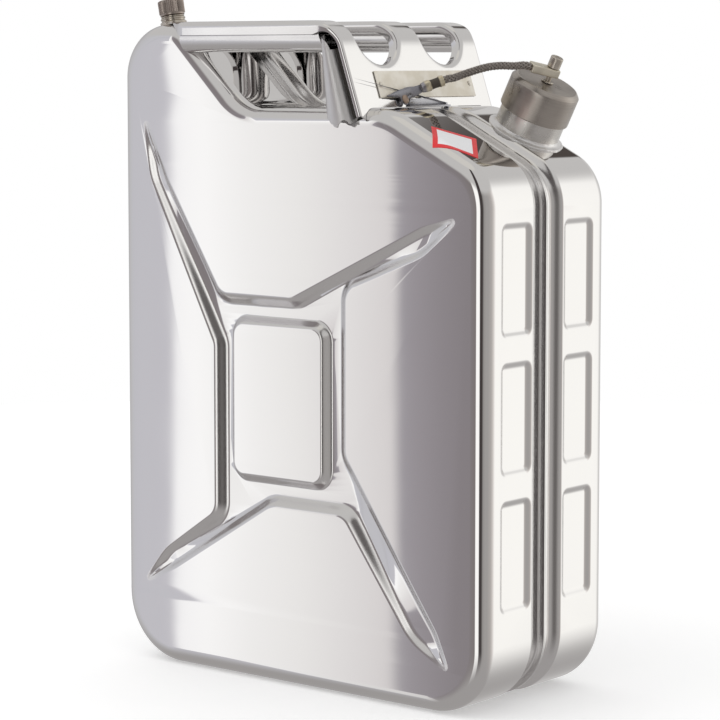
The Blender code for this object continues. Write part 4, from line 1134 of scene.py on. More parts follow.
def handleLeg(name, side):
    front = handle["legFrontDrop"]
    footLine = handle["legFoot"]
    lipReach = handle["bend"] - handle["edgeDrop"] - seatGap
    tops, feet = [], []
    for way in shares(handle["legSteps"]):
        angle = math.pi * way
        share = (1 - math.cos(angle)) / 2
        drop = blended(front, handle["legTopDrop"], share)
        across = side * (legInner + handle["legTopBulge"] * math.sin(angle))
        rise = math.sqrt(max(lipReach**2 - (handle["bend"] - drop) ** 2, 0))
        tops.append(platePoint(bendTravel - rise, across, drop))
        degrees = math.degrees(angle)
        for (first, low), (last, high) in zip(footLine, footLine[1:]):
            if first <= degrees <= last:
                reach = blended(low, high, ease((degrees - first) / (last - first)))
        drop = blended(front, handle["legFootDrop"], share)
        across = side * (legInner + handle["legFootBulge"] * math.sin(angle))
        feet.append(platePoint(footTravel + handle["legOverlap"] + reach, across, drop))
    lines = [[top.lerp(foot, share) for top, foot in zip(tops, feet)] for share in shares(handle["rows"])]
    return sheetThrough(name, lines, (0, side, 0), handle["wall"])


# A dark strip deep in the gap between a leg and the end plate, painted shade which keeps the gap black
def gapStrip(name, side):
    last = footTravel + handle["legOverlap"] - handle["gapShort"]
    near = (side * handle["gapInner"], handle["wall"])
    far = (side * handle["gapOuter"], handle["legFrontDrop"] + handle["gapPast"])
    travels = [blended(bendTravel, last, share) for share in shares(handle["rows"])]
    lines = [[platePoint(travel, *near), platePoint(travel, *far)] for travel in travels]
    return sheetThrough(name, lines, (0, side, 0), handle["gapWall"])


bodyTrimmer = bodyCutter(seatGap)
sheet = handleSheet(bodyTrimmer)
outerInside = handle["slotCentre"] + slotHalf + handle["wall"] + seatGap
outerOutside = handle["halfWidth"] - handle["wall"] - seatGap
outerMiddle = (outerInside + outerOutside) / 2
outerRadius = (outerOutside - outerInside) / 2
centreRadius = handle["slotCentre"] - slotHalf - handle["wall"] - seatGap
for label, bar in (("Front", -1), ("Centre", 0), ("Back", 1)):
    radius = outerRadius if bar else centreRadius
    tube = handleTube("handleTube" + label, bar * outerMiddle, radius, bodyTrimmer)
    if bar:
        room = legRoom(bar)
        cutAway(tube, room)
        remove(room)
        leg = handleLeg("handleLeg" + label, bar)
        finishPiece(leg, "can", legSteel, ["handle_leg_" + label.lower()])
        # the dark strip is painted shade in the gap beside the leg
        finishPiece(gapStrip("gapWeld" + label, bar), "can", coreAndGapShade)
    finishPiece(tube, "can", pipeSteel, ["handle_tube_" + label.lower()])
finishPiece(sheet, "can", handleSteel, ["handle_sheet"])
remove(bodyTrimmer)
print("handle made")

# The pieces on the end plate
plate = {
    "width": 0.1130,
    "height": 0.0200,
    "wall": 0.0008,
    "edge": 0.00022,
    "centreY": 0.0040,
    "rise": 0.0173,
    "rivetInset": 0.0040,
    "rivetRadius": 0.0019,
    "rivetHeight": 0.0007,
}
saddle = {
    "wall": 0.0012,
    "lip": 0.0040,
    "fold": 0.0016,
    "edge": 0.00025,
    "rearY": -0.0228,
    "topRearY": -0.0196,
    "topFrontY": 0.0070,
    "frontY": 0.0210,
    "height": 0.0066,
    "endHeight": 0.0026,
    "steps": 26,
}
tongue = {
    "wall": 0.0015,
    "rise": 0.0096,
    "tipY": -0.0465,
    "rivetY": -0.0283,
    "rivetRise": 0.0049,
    "eyeMargin": 0.0008,
    "headRadius": 0.0034,
    "headHeight": 0.0012,
    "sides": 16,
}


# A profile from parts of a radius and a height
def shaped(radius, height, parts):
    return [(radius * across, height * up) for across, up in parts]


def namePlate():
    wall = plate["wall"]
    piece = roundedBlock("namePlate", (plate["width"], plate["height"], wall), plate["edge"], 2)
    placeMesh(piece, platePlace(plate["centreY"], plate["rise"], seatGap + wall / 2))
    finishPiece(piece, "can", ivoryFinish, ["name_plate"], slot="ivory_plate")
    radius, height = plate["rivetRadius"], plate["rivetHeight"]
    profile = shaped(radius, height, ((0, 1), (0.5, 0.92), (0.85, 0.6)))
    profile += [(radius, 0.0001), (radius, 0), (0, 0)]
    for label, side in (("Front", -1), ("Back", 1)):
        reach = side * (plate["width"] / 2 - plate["rivetInset"])
        place = platePlace(plate["centreY"] + reach, plate["rise"], 2 * seatGap + wall)
        node = "name_rivet_" + label.lower()
        turnedPiece("nameRivet" + label, profile, place, "can", ivoryFinish, node, slot="ivory_plate")


# A folded sheet over the seam: a lip on the body and a low wall against the end plate
def seamSaddle():
    lean = handle["lean"]
    out = seatGap + saddle["wall"]
    floor = can["dipHeight"] + out
    heelX = handle["footX"] - out * math.tan(lean) + out / math.cos(lean)
    fold = saddle["fold"]
    forwards = Vector((fold, 0, 0))
    upwards = -downPlate
    lines = []
    for share in shares(saddle["steps"]):
        across = blended(saddle["rearY"], saddle["frontY"], share)
        climb = ease((across - saddle["rearY"]) / (saddle["topRearY"] - saddle["rearY"]))
        fall = ease((saddle["frontY"] - across) / (saddle["frontY"] - saddle["topFrontY"]))
        rise = blended(saddle["endHeight"], saddle["height"], min(climb, fall)) - out / math.cos(lean)
        heel = Vector((heelX, across, floor))
        line = [heel + Vector((saddle["lip"], 0, 0)), heel + forwards]
        line.append(heel + (forwards + upwards * fold) * 0.3)
        line += [heel + upwards * height for height in (fold, (fold + rise) / 2, rise)]
        lines.append(line)
    piece = sheetThrough("seamSaddle", lines, (0, 0, 1), saddle["wall"])
    softened = {"segments": 2, "limit_method": "ANGLE", "angle_limit": math.radians(50)}
    modify(piece, "BEVEL", width=saddle["edge"], use_clamp_overlap=True, **softened)
    finishPiece(piece, "can", saddleSteel, ["seam_saddle"])


# The tether
tether = {
    "endSteps": 6,
    "cableRadius": 0.0032,
    "blockRise": 0.0055,
    "blockSize": (0.0230, 0.0090, 0.0062),
    "blockEdge": 0.0010,
    "blockTail": 0.0050,
    "blockTurn": math.radians(-117),
    "ferruleRadius": 0.0042,
    "ferruleStart": (0.0030, 0.0142, 0.0175),  # across, up and out on the end plate
    "ferruleEnd": (-0.0098, 0.0122, 0.0062),
    # share of the way from the block to the ferrule, then beside and over it
    "route": (
        (0.148, -0.0038, 0.0018),
        (0.307, -0.0042, 0.0036),
        (0.489, -0.0023, 0.0041),
        (0.721, 0.0004, 0.0026),
        (0.887, 0.0009, 0.0007),
    ),
    "routeStep": 0.0007,
    "strands": 6,
    "strandRadius": 0.00092,
    "strandTurns": 4.2,
    "wires": 2,
    "wireSides": 5,
    # in radii of a wire: how far its bundle spreads, lies below the surface and weaves
    "wireSpread": 2.1,
    "wireSink": 2.3,
    "wireWeave": 0.9,
    "coreShare": 0.74,
    "coreSides": 16,
}
cap = {
    "neckRadius": 0.02425,
    "neckBore": 0.0222,
    "neckTop": 0.0350,
    "radius": 0.0260,
    "skirtBottom": 0.0160,
    "skirtBore": 0.02465,
    "underside": 0.0387,
    "top": 0.0413,
    "edge": 0.0030,
    "lip": 0.0009,
    "bore": 0.0032,
    "boltRadius": 0.0021,
    "boltNeck": 0.0016,
    "boltHeadRadius": 0.0047,
    "boltHead": 0.0082,
    "boltEdge": 0.0008,
    "footRadius": 0.0050,
    "footBottom": 0.0215,
    "footTop": 0.0245,
    "washerRadius": 0.0046,
    "washerWall": 0.0010,
}
weld = {
    "radius": 0.0288,
    "height": 0.0058,
    "sunk": -0.0030,
    "steps": 13,
    "swell": 0.0006,
    "swellHeight": 0.0003,
    # the swell's waves round the neck: share, count and shift
    "waves": ((0.45, 3, 0.6), (0.30, 7, 2.1), (0.25, 13, 0.2)),
    "drops": 40,
    "dropReach": 0.0001,
    "lumps": 0.0004,
    "lumpSize": 0.004,
}
blockBottom = cap["top"] + tether["blockRise"]
blockTop = blockBottom + tether["blockSize"][2]
blockMiddle = Vector((0, 0, (blockBottom + blockTop) / 2))
blockWay = Vector((math.cos(tether["blockTurn"]), math.sin(tether["blockTurn"]), 0))


# The ferrule's upper end, its lower end and its direction
def ferruleLine():
    ends = (tether["ferruleStart"], tether["ferruleEnd"])
    upper, lower = [handlePoint(footTravel - rise, across, -out) for across, rise, out in ends]
    return upper, lower, (lower - upper).normalized()


# A smooth line through the route's points, straight at both ends
def cableRoute(step):
    radius = tether["cableRadius"]
    way = (neckPlace.to_3x3() @ blockWay).normalized()
    blockReach = tether["blockSize"][0] - tether["blockTail"] + seatGap
    start = neckPlace @ (blockMiddle + blockWay * blockReach)
    upper, ferruleWay = ferruleLine()[::2]
    end = upper - ferruleWay * seatGap
    points = [start + way * radius]
    for share, sideways, rise in tether["route"]:
        points.append(start.lerp(end, share) + Vector((0, sideways, rise)))
    points.append(end - ferruleWay * radius)
    ways = [way * (points[1] - points[0]).length]
    ways += [(after - before) / 2 for before, after in zip(points, points[2:])]
    ways.append(ferruleWay * (points[-1] - points[-2]).length)
    ends = shares(tether["endSteps"])
    route = [start.lerp(points[0], share) for share in ends[:-1]]
    for first, last, wayOut, wayIn in zip(points, points[1:], ways, ways[1:]):
        count = max(2, round((last - first).length / step))
        for piece in range(1 if first is not points[0] else 0, count + 1):
            t = piece / count
            spot = first * (2 * t**3 - 3 * t**2 + 1) + wayOut * (t**3 - 2 * t**2 + t)
            route.append(spot + last * (3 * t**2 - 2 * t**3) + wayIn * (t**3 - t**2))
    route += [points[-1].lerp(end, share) for share in ends[1:]]
    return route


def alongLine(points, index):
    return (points[min(index + 1, len(points) - 1)] - points[max(index - 1, 0)]).normalized()


# A frame of two directions across a line of points, carried along without twist
def crossFrames(route):
    frames = []
    side = Vector((0, 0, 1))
    for index in range(len(route)):
        along = alongLine(route, index)
        side = (side - along * side.dot(along)).normalized()
        frames.append((side, along.cross(side)))
    return frames


def tubeAlong(meshWork, route, frames, radius, sides):
    turns = [math.tau * corner / sides for corner in range(sides)]
    rings = []
    for spot, (side, other) in zip(route, frames):
        points = [spot + (side * math.cos(turn) + other * math.sin(turn)) * radius for turn in turns]
        rings.append(addVerts(meshWork, points))
    skin(meshWork, rings, capped=True)


# Fine wires in bundles that weave over and under each other round a dark core
def braidedCable():
    route = cableRoute(tether["routeStep"])
    frames = crossFrames(route)
    travel = [0.0]
    for before, after in zip(route, route[1:]):
        travel.append(travel[-1] + (after - before).length)
    length = travel[-1]
    bundles, wires = tether["strands"], tether["wires"]
    wire = tether["strandRadius"] / 2
    meshWork = bmesh.new()
    for spin in (-1, 1):
        for strand in range(bundles * wires):
            bundle = strand // wires
            spread = (strand % wires - (wires - 1) / 2) * wire * tether["wireSpread"]
            middle, sides = [], []
            for spot, (side, other), gone in zip(route, frames, travel):
                turn = spin * math.tau * tether["strandTurns"] * gone / length + math.tau * bundle / bundles
                weave = spin * math.cos(bundles * (turn * spin) - math.tau * bundle)
                reach = tether["cableRadius"] + (weave * tether["wireWeave"] - tether["wireSink"]) * wire
                turn += spread / tether["cableRadius"]
                sides.append(side * math.cos(turn) + other * math.sin(turn))
                middle.append(spot + sides[-1] * reach)
            wireFrames = []
            for index, out in enumerate(sides):
                along = alongLine(middle, index)
                out = (out - along * out.dot(along)).normalized()
                wireFrames.append((out, along.cross(out)))
            tubeAlong(meshWork, middle, wireFrames, wire, tether["wireSides"])
    braid = meshPiece("braidedCable", meshWork, Vector((0, 0, 1)))
    meshWork = bmesh.new()
    coreRadius = tether["cableRadius"] * tether["coreShare"]
    route, frames = route[::3] + route[-1:], frames[::3] + frames[-1:]
    tubeAlong(meshWork, route, frames, coreRadius, tether["coreSides"])
    core = meshPiece("cableCore", meshWork, Vector((0, 0, 1)))
    for piece, finish, nodes in ((braid, wireFinish, ["tether_cable"]), (core, coreAndGapShade, [])):
        finishPiece(piece, None, finish, nodes, slot="braided_wire", weighted=False, angle=60)
        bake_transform(piece)
    return length


def endBlock():
    size = tether["blockSize"]
    piece = roundedBlock("endBlock", size, tether["blockEdge"], 4)
    shift = Matrix.Translation(blockMiddle + Vector((size[0] / 2 - tether["blockTail"], 0, 0)))
    placeMesh(piece, Matrix.Rotation(tether["blockTurn"], 4, "Z") @ shift)
    bore, bottom, top = cap["boltNeck"] + seatGap, cap["top"], blockTop + 0.01
    profile = [(0, bottom), (bore, bottom), (bore, top), (0, top)]
    hole = spinProfile("hole", profile, turnSteps["blockHole"])
    cutAway(piece, hole)
    remove(hole)
    placeMesh(piece, neckPlace)
    finishPiece(piece, "tether_eye", zincFinish, ["tether_block"], slot="zinc")


# Two yellowish collars, crimped between
def ferrule():
    upper, lower, way = ferruleLine()
    reach = (lower - upper).length
    radius = tether["ferruleRadius"]
    place = Matrix.Translation(upper) @ way.to_track_quat("Z", "Y").to_matrix().to_4x4()
    dent = radius * 0.86
    profile = [(0, 0), (radius * 0.94, 0), (radius, 0.0004), (radius, reach * 0.17)]
    profile += [(dent, reach * 0.22), (dent * 0.97, reach * 0.40), (dent, reach * 0.58)]
    profile += [(radius, reach * 0.62), (radius, reach * 0.80), (radius * 0.8, reach), (0, reach)]
    finish = ferruleFinish(place, reach)
    turnedPiece("ferrule", profile, place, "can", finish, "tether_ferrule", slot="zinc", angle=30)


# The flattened cable end with an eye for the rivet, tapering to a tip
def flatTongue():
    out = 2 * seatGap + max(plate["wall"], saddle["wall"])
    eye = tongue["headRadius"] + tongue["eyeMargin"]
    eyeLow = tongue["rise"] - tongue["rivetRise"] + eye
    rise, rivetY = tongue["rise"], tongue["rivetY"]
    endY, endRise, endOut = tether["ferruleEnd"]
    # across, up and out on the end plate, then how far the blade reaches up and down
    stations = [
        (endY - 0.0050, endRise - 0.0014, endOut - 0.0030, 0.0036, 0.0036),
        (endY - 0.0090, rise + 0.0010, out + 0.0002, 0.0040, 0.0042),
        (rivetY + eye, rise + 0.0005, out, 0.0040, 0.0048),
        (rivetY + eye * 0.6, rise, out, 0.0038, eyeLow - eye * 0.2),
        (rivetY, rise, out, 0.0034, eyeLow),
        (rivetY - eye * 0.6, rise, out, 0.0030, eyeLow - eye * 0.2),
        (rivetY - eye, rise - 0.0002, out, 0.0026, 0.0030),
        (tongue["tipY"], rise - 0.0016, out, 0.0006, 0.0006),
    ]
    wall, sides = tongue["wall"], tongue["sides"]
    lower, way = ferruleLine()[1:]
    up = (-downPlate + way * downPlate.dot(way)).normalized() * tether["ferruleRadius"] * 0.7
    through = way.cross(up).normalized() * wall / 2
    centre = lower + way * seatGap

    def rounded(value):
        return math.copysign(abs(value) ** 0.7, value)

    # a flat section with rounded ends: share across, share through the wall
    ovals = []
    for side in range(sides):
        turn = math.tau * side / sides
        ovals.append((rounded(math.cos(turn)), rounded(math.sin(turn))))
    rings = [[centre + up * wide - through * thick for wide, thick in ovals]]
    fine = []
    for first, last in zip(stations, stations[1:]):
        for way in shares(4)[:-1]:
            ways = [way] * 3 + [ease(way)] * 2
            fine.append([blended(low, high, share) for low, high, share in zip(first, last, ways)])
    fine.append(stations[-1])
    for across, height, lift, above, below in fine:
        ring = []
        for wide, thick in ovals:
            reach = (above if wide > 0 else below) * wide
            ring.append(handlePoint(footTravel - height - reach, across, -(lift + wall / 2 * (1 + thick))))
        rings.append(ring)
    meshWork = bmesh.new()
    skin(meshWork, [addVerts(meshWork, ring) for ring in rings], capped=True)
    piece = meshPiece("flatTongue", meshWork, Vector((1, 0, 0)))
    finishPiece(piece, "can", tongueFinish, ["tether_tongue"], slot="flattened_wire", weighted=False)
    head = ((0, 1), (0.45, 0.95), (0.8, 0.7), (0.97, 0.3), (1, 0), (0, 0))
    profile = shaped(tongue["headRadius"], tongue["headHeight"], head)
    place = platePlace(rivetY, tongue["rivetRise"], out + wall + seatGap)
    slot = "knurled_metal"
    turnedPiece("tetherRivet", profile, place, "can", rivetFinish, "tether_rivet", slot=slot)


# The neck and the screw cap
def arc(centre, radius, start, end, steps):
    points = []
    for share in shares(steps):
        angle = math.radians(blended(start, end, share))
        points.append((centre[0] + radius * math.cos(angle), centre[1] + radius * math.sin(angle)))
    return points


def neckTube():
    radius, bore, top = cap["neckRadius"], cap["neckBore"], cap["neckTop"]
    profile = [(bore, -0.004), (radius, -0.004), (radius, 0.006), (radius, 0.020), (radius, top - 0.0006)]
    profile += [(radius - 0.0006, top), (bore + 0.0004, top), (bore, top - 0.0004), (bore, 0.010)]
    turnedPiece("neckTube", profile, neckPlace, "can", neckSteel, "neck", close=True)


# The weld round the foot of the neck: a smooth flare, uneven where it meets the shell
def neckWeld():
    foot, wide, high, low = cap["neckRadius"] - 0.0006, weld["radius"], weld["height"], weld["sunk"]
    profile = [(foot, low), (wide - 0.0010, low), (wide, 0.0001), (wide - 0.0003, 0.0007)]
    for angle in quarterTurn(weld["steps"])[1:-1]:
        reach = wide - 0.0006 - (wide - foot - 0.0006) * math.sin(angle)
        profile.append((reach, blended(0.0009, high, 1 - math.cos(angle))))
    profile.append((foot, high))
    piece = spinProfile("neckWeld", profile, turnSteps["neckWeld"], close=True)
    for vert in piece.data.vertices:
        x, y, z = vert.co
        angle = math.atan2(y, x)
        reach = math.hypot(x, y)
        out = max(0.0, min(1.0, (reach - foot) / (wide - foot)))
        swell = sum(part * math.sin(angle * count + shift) for part, count, shift in weld["waves"])
        drop = 0.5 + 0.5 * math.cos(angle * weld["drops"] + 1.3 * math.sin(angle * 5))
        scale = 1 + out * (weld["swell"] * swell + weld["dropReach"] * drop) / reach
        vert.co = (x * scale, y * scale, z + (weld["swellHeight"] * swell * out if z > 0 else 0))
    clouds = bpy.data.textures.new("weldClouds", "CLOUDS")
    clouds.noise_scale = weld["lumpSize"]
    modify(piece, "DISPLACE", texture=clouds, strength=weld["lumps"], mid_level=0.5)
    placeMesh(piece, neckPlace)
    finishPiece(piece, "can", beadSteel, weighted=False, angle=80)


def screwCap():
    radius, top, bore, lip = cap["radius"], cap["top"], cap["bore"], cap["lip"]
    inner, bottom = cap["skirtBore"], cap["skirtBottom"]
    shoulder, flat = top - cap["edge"], radius - cap["edge"]
    profile = [(bore, cap["underside"]), (inner, cap["underside"]), (inner, bottom)]
    profile += arc((radius - lip, bottom + lip), lip, -90, 0, 5)
    profile += [(radius, bottom + 0.006), (radius, shoulder - 0.004), (radius, shoulder - 0.0004)]
    profile += [(radius - 0.0004, shoulder + 0.0002), (flat + 0.0004, top - 0.0003), (flat - 0.0003, top)]
    profile += [(flat - 0.0012, top - 0.00002), (0.012, top - 0.0001)]
    profile += [(bore + 0.0003, top), (bore, top - 0.0003)]
    settings = {"slot": "brushed_steel", "angle": 35, "close": True}
    turnedPiece("screwCap", profile, neckPlace, "cap", capSteel, "screw_cap", **settings)


def capBolt():
    neck, radius, wide, edge = cap["boltNeck"], cap["boltRadius"], cap["boltHeadRadius"], cap["boltEdge"]
    foot, footBottom, footTop = cap["footRadius"], cap["footBottom"], cap["footTop"]
    stemTop = blockBottom - seatGap
    low = blockTop + seatGap
    high = low + cap["boltHead"]
    profile = [(0, footBottom), (foot, footBottom), (foot, footTop), (radius, footTop), (radius, stemTop)]
    profile += [(neck, stemTop), (neck, low), (wide - 0.0004, low), (wide, low + 0.0004)]
    profile.append((wide, high - edge))
    profile += arc((wide - edge, high - edge), edge, 20, 90, 4)
    profile += [(wide * 0.55, high), (wide * 0.5, high - 0.0003), (0, high - 0.0004)]
    turnedPiece("capBolt", profile, neckPlace, "cap", boltSteel, "cap_bolt", angle=35)
    bottom = cap["top"] + seatGap
    top = bottom + cap["washerWall"]
    outer, inner = cap["washerRadius"], radius + seatGap
    profile = [(inner, bottom), (outer - 0.0002, bottom), (outer, bottom + 0.0002), (outer, top - 0.0003)]
    profile += [(outer - 0.0003, top), (inner, top)]
    turnedPiece("capWasher", profile, neckPlace, "cap", boltSteel, "cap_washer", close=True)


# The vent screw
vent = {
    "radius": 0.0100,
    "bossHeight": 0.0058,
    "groove": 0.0012,
    "bore": 0.0045,
    "stemGap": 0.0004,
    "sealWall": 0.0010,
    "sealRadius": 0.0088,
    "capHeight": 0.0120,
    "stemLength": 0.0100,
    "ribs": 44,
    "ribDepth": 0.00045,
}


def ventBoss():
    radius, height, bore = vent["radius"], vent["bossHeight"], vent["bore"]
    groove = radius - vent["groove"]
    collar = radius - vent["groove"] / 2
    profile = [(bore, -0.0015), (radius + 0.0006, -0.0015), (radius + 0.0005, 0.0004), (radius, 0.0009)]
    profile += [(radius, height * 0.42), (radius - 0.0003, height * 0.48), (groove, height * 0.6)]
    profile += [(groove, height * 0.75), (collar - 0.0002, height * 0.80), (collar, height * 0.85)]
    profile += [(collar, height - 0.0003), (collar - 0.0003, height), (bore, height)]
    turnedPiece("ventBoss", profile, ventPlace, "can", boltSteel, "vent_boss", close=True, angle=50)


def ventSeal():
    inner, outer = vent["bore"] - vent["stemGap"] + 0.0003, vent["sealRadius"]
    bottom = vent["bossHeight"] + seatGap
    top = bottom + vent["sealWall"]
    profile = [(inner, bottom), (outer - 0.0002, bottom), (outer, bottom + 0.0002), (outer, top - 0.0002)]
    profile += [(outer - 0.0002, top), (inner, top)]
    settings = {"slot": "black_rubber", "close": True}
    turnedPiece("ventSeal", profile, ventPlace, "vent_washer", boltSteel, "vent_seal", **settings)


def ventScrew():
    stem = vent["bore"] - vent["stemGap"]
    bottom = vent["bossHeight"] + 2 * seatGap + vent["sealWall"]
    top, low = bottom + vent["capHeight"], bottom - vent["stemLength"]
    radius = vent["radius"] - 0.0002
    step = radius - 0.0006
    profile = [(0, low), (stem - 0.0004, low), (stem, low + 0.0004), (stem, bottom)]
    profile += [(radius - 0.0014, bottom), (step, bottom + 0.0005), (step, bottom + 0.0016)]
    profile.append((radius, bottom + 0.0020))
    profile += [(radius, bottom + share * vent["capHeight"]) for share in (0.3, 0.45, 0.6, 0.75)]
    profile += [(radius, top - 0.0008), (radius - 0.0003, top - 0.0003), (radius - 0.0010, top)]
    profile += [(radius * 0.5, top), (0, top)]
    piece = spinProfile("ventScrew", profile, vent["ribs"] * 4)
    # the knurl, on a head that widens a little upwards
    for vert in piece.data.vertices:
        x, y, z = vert.co
        reach = math.hypot(x, y)
        if reach > radius - 0.00012 and bottom + 0.0018 < z < top - 0.0006:
            wide = 1 + 0.010 * (z - bottom) / vent["capHeight"]
            cut = vent["ribDepth"] * (0.5 + 0.5 * math.cos(math.atan2(y, x) * vent["ribs"]))
            scale = (reach * wide - cut) / reach
            vert.co = (x * scale, y * scale, z)
    placeMesh(piece, ventPlace)
    settings = {"slot": "knurled_metal", "weighted": False, "angle": 30}
    finishPiece(piece, "vent_knob", knurlSteel, ["vent_screw"], **settings)


# The blank sticker on the shoulder, by its four corners (x, y)
sticker = {
    "corners": ((0.1087, -0.0529), (0.1275, -0.0742), (0.1507, -0.0539), (0.1267, -0.0242)),
    "thick": 0.00022,
    "lift": 0.00005,
    "steps": 12,
}


def shoulderSticker():
    steps = sticker["steps"]
    first, second, third, fourth = [Vector(corner) for corner in sticker["corners"]]
    normal = (neckPlace.to_3x3() @ Vector((0, 0, 1))).normalized()
    radius = can["faceRadius"]
    flat = halfThickness - radius
    meshWork = bmesh.new()
    layer = meshWork.loops.layers.uv.new("square")
    square = {}
    grid = []
    for along in shares(steps):
        line = []
        for across in shares(steps):
            x, y = first.lerp(second, across).lerp(fourth.lerp(third, across), along)
            spot = Vector((x, y, shoulderHeightAt(x)))
            # over the rounded edge the sticker follows the sheet
            bent = (abs(y) - flat) / radius
            if bent > 0:
                spot -= normal * radius * (1 - math.cos(bent))
                spot.y = math.copysign(flat + radius * math.sin(bent), y)
            line.append(meshWork.verts.new(spot))
            square[line[-1]] = (across, along)
        grid.append(line)
    skin(meshWork, grid, closed=False)
    for face in meshWork.faces:
        for loop in face.loops:
            loop[layer].uv = square[loop.vert]
    piece = meshPiece("shoulderSticker", meshWork, Vector((1, 0, 1)))
    modify(piece, "SOLIDIFY", thickness=sticker["thick"], offset=1)
    placeMesh(piece, Matrix.Translation(normal * sticker["lift"]))
    finishPiece(piece, "can", vinylFinish, angle=60, weighted=False)


namePlate()
seamSaddle()
endBlock()
ferrule()
flatTongue()
cableLength = braidedCable()
print(f"tether made, cable {cableLength * 1000:.1f} mm")
neckTube()
neckWeld()
screwCap()
capBolt()
ventBoss()
ventSeal()
ventScrew()
shoulderSticker()
print("neck, cap, vent and sticker made")

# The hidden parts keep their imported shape
hidden = {"cap_gasket": rubberFinish, "flame_arrester": pipeSteel}
for name in ("flame_arrester", "cap_gasket", "valve_cup", "valve_disc", "valve_spring"):
    paint(bpy.data.objects[name], hidden.get(name, boltSteel))

# Floor, surroundings and light
studio = {
    "floorRadius": 1.6,
    "floorColour": (0.90, 0.90, 0.90),
    "floorGlow": 0.30,
    "softLight": 0.80,
    # what polished metal shows round the can: degrees from straight in front, and a colour
    "round": (
        (-180, (0.66, 0.65, 0.64)), (-155, (0.70, 0.69, 0.68)), (-146, (0.62, 0.61, 0.60)),
        (-138, (0.42, 0.41, 0.41)), (-115, (0.50, 0.49, 0.50)), (-80, (0.60, 0.60, 0.62)),
        (-48, (0.64, 0.64, 0.68)), (-32, (0.27, 0.245, 0.255)), (4, (0.24, 0.215, 0.21)),
        (8, (1.22, 1.21, 1.19)), (27, (1.20, 1.19, 1.17)), (31, (0.07, 0.06, 0.06)),
        (45, (0.06, 0.052, 0.05)), (55, (0.36, 0.345, 0.335)), (70, (0.42, 0.405, 0.395)),
        (84, (0.42, 0.405, 0.395)), (108, (0.52, 0.49, 0.47)), (124, (0.76, 0.72, 0.69)),
        (136, (1.06, 1.03, 1.00)), (143, (1.18, 1.17, 1.13)), (152, (1.12, 1.11, 1.08)),
        (166, (0.84, 0.83, 0.81)), (180, (0.66, 0.65, 0.64)),
    ),
    # the part that the broad side shows, finer
    "front": (
        (-46.0, (0.62, 0.62, 0.67)), (-43.9, (0.645, 0.64, 0.685)), (-43.40, (0.63, 0.62, 0.67)),
        (-43.22, (1.14, 1.14, 1.15)), (-42.6, (1.17, 1.17, 1.17)), (-41.6, (1.07, 1.065, 1.06)),
        (-40.5, (1.00, 0.99, 0.98)), (-39.4, (0.90, 0.88, 0.88)), (-38.55, (0.83, 0.80, 0.80)),
        (-38.30, (0.40, 0.38, 0.41)), (-38.0, (0.375, 0.35, 0.375)), (-37.4, (0.325, 0.30, 0.32)),
        (-36.8, (0.29, 0.265, 0.28)), (-34.0, (0.27, 0.245, 0.255)),
    ),
    "brightest": 1.25,  # a ramp holds no more than 1, so its colours are divided by this
    # over it: the sine of the height, and how much of the ceiling shows
    "ceilingHeights": (0.36, 0.56),
    "ceiling": (0.62, 0.61, 0.60),
    # a dark strip in front stands on up to the top: degrees round, and over which heights it fades
    "stripTurns": (29.0, 50.0),
    "stripFoot": (0.2, 0.5),
    "stripTop": (0.955, 0.93),
    "strip": (0.06, 0.05, 0.05),
    "lampHeights": (0.93, 0.97),
    "lamp": (0.72, 0.70, 0.66),
    # a dark card behind the can, which the shoulder shows: its turn, height and radii
    "cardTurn": -161.5,
    "cardHeight": 0.490,
    "cardRadii": (7.0, 2.6),
    "card": (0.082, 0.070, 0.064),
    "lowHeights": (-0.16, -0.75),
    "low": (0.40, 0.385, 0.38),
    "lampPlace": (-0.7, -1.0, 2.2),
    "lampAim": (0, 0, 0.25),
    "lampSize": 1.6,
    "lampPower": 9,
}


def addFloor():
    bpy.ops.object.select_all(action="DESELECT")
    bpy.ops.mesh.primitive_circle_add(
        vertices=96, radius=studio["floorRadius"], fill_type="NGON", location=(0, 0, -0.0004)
    )
    floor = bpy.context.object
    floor.name = "floor"
    finish = newFinish("floorWhite", studio["floorColour"], 0.0, 0.7)
    finish.set(Emission_Color=(1.0, 1.0, 1.0), Emission_Strength=studio["floorGlow"])
    # metal looks through the floor at the surroundings, which go on below it
    paths = finish.add("LightPath", output="Is Glossy Ray")
    clear = finish.add("BsdfTransparent")
    mixed = finish.add("MixShader", None, {0: paths, 1: Value(finish, finish.shader.outputs[0]), 2: clear})
    finish.join(mixed, finish.tree.nodes["Material Output"].inputs["Surface"])
    floor.data.materials.append(finish.owner)


# The colours between two angles: where a turn from 0 to 1 stands in them, and the colour there
def rampBetween(sky, turn, stops):
    first, last = stops[0][0], stops[-1][0]
    share = (turn * 360 - (180 + first)) * (1 / (last - first))
    bright = studio["brightest"]
    ramp = []
    for degrees, colour in stops:
        ramp.append(((degrees - first) / (last - first), tuple(part / bright for part in colour)))
    return share, sky.add("ValToRGB", {"stops": ramp}, {"Fac": share})


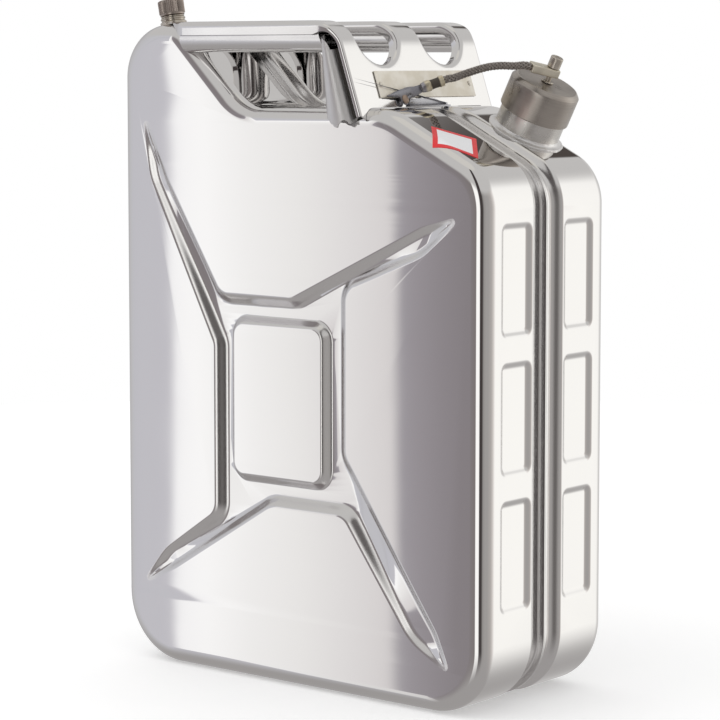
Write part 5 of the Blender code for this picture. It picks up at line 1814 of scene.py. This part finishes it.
def addWorld():
    world = bpy.data.worlds.new("studio")
    bpy.context.scene.world = world
    sky = Finish(world, "Background")
    across, along, height = sky.axes(sky.add("TexCoord", output="Generated"))
    turn = sky.calc("ARCTAN2", across, along * -1) * (1 / math.tau) + 0.5
    share, around = rampBetween(sky, turn, studio["round"])
    share, front = rampBetween(sky, turn, studio["front"])
    inside = sky.calc("GREATER_THAN", share, 0.0) * sky.calc("LESS_THAN", share, 1.0)
    around = sky.mix(inside, around, front)
    shown = sky.add("VectorMath", {"operation": "SCALE"}, {0: around, "Scale": studio["brightest"]})
    shown = sky.mix(sky.between(height, *studio["ceilingHeights"]), shown, studio["ceiling"])
    start, end = [(degrees + 180) / 360 for degrees in studio["stripTurns"]]
    strip = sky.between(turn, start, start + 0.006) * sky.between(turn, end, end - 0.012)
    strip = strip * sky.between(height, *studio["stripFoot"]) * sky.between(height, *studio["stripTop"])
    shown = sky.mix(strip, shown, studio["strip"])
    shown = sky.mix(sky.between(height, *studio["lampHeights"]), shown, studio["lamp"])
    facing = math.radians(studio["cardTurn"])
    level = math.sqrt(1 - studio["cardHeight"] ** 2)
    card = across * (math.sin(facing) * level) - along * (math.cos(facing) * level)
    card = card + height * studio["cardHeight"]
    outer, inner = [math.cos(math.radians(radius)) for radius in studio["cardRadii"]]
    shown = sky.mix(sky.between(card, outer, inner), shown, studio["card"])
    shown = sky.mix(sky.between(height, *studio["lowHeights"]), shown, studio["low"])
    glossy, camera, through = [
        sky.add("LightPath", output=f"Is {kind} Ray") for kind in ("Glossy", "Camera", "Transmission")
    ]
    # plain light for all that isn't polished, and white where the camera sees past the can
    shown = sky.mix(glossy, (studio["softLight"],) * 3, shown)
    shown = sky.mix(sky.calc("MAXIMUM", camera, through), shown, (1.0, 1.0, 1.0))
    sky.set(Color=shown, Strength=1.0)


def addLamp():
    data = bpy.data.lights.new("softTop", "AREA")
    data.size = studio["lampSize"]
    data.energy = studio["lampPower"]
    lamp = bpy.data.objects.new("softTop", data)
    lamp.visible_glossy = False  # polished metal doesn't show it
    bpy.context.scene.collection.objects.link(lamp)
    lamp.location = studio["lampPlace"]
    way = Vector(studio["lampAim"]) - lamp.location
    lamp.rotation_euler = way.to_track_quat("-Z", "Y").to_euler()


addFloor()
addWorld()
addLamp()
bpy.context.scene.view_settings.view_transform = "Standard"
print("studio lit")
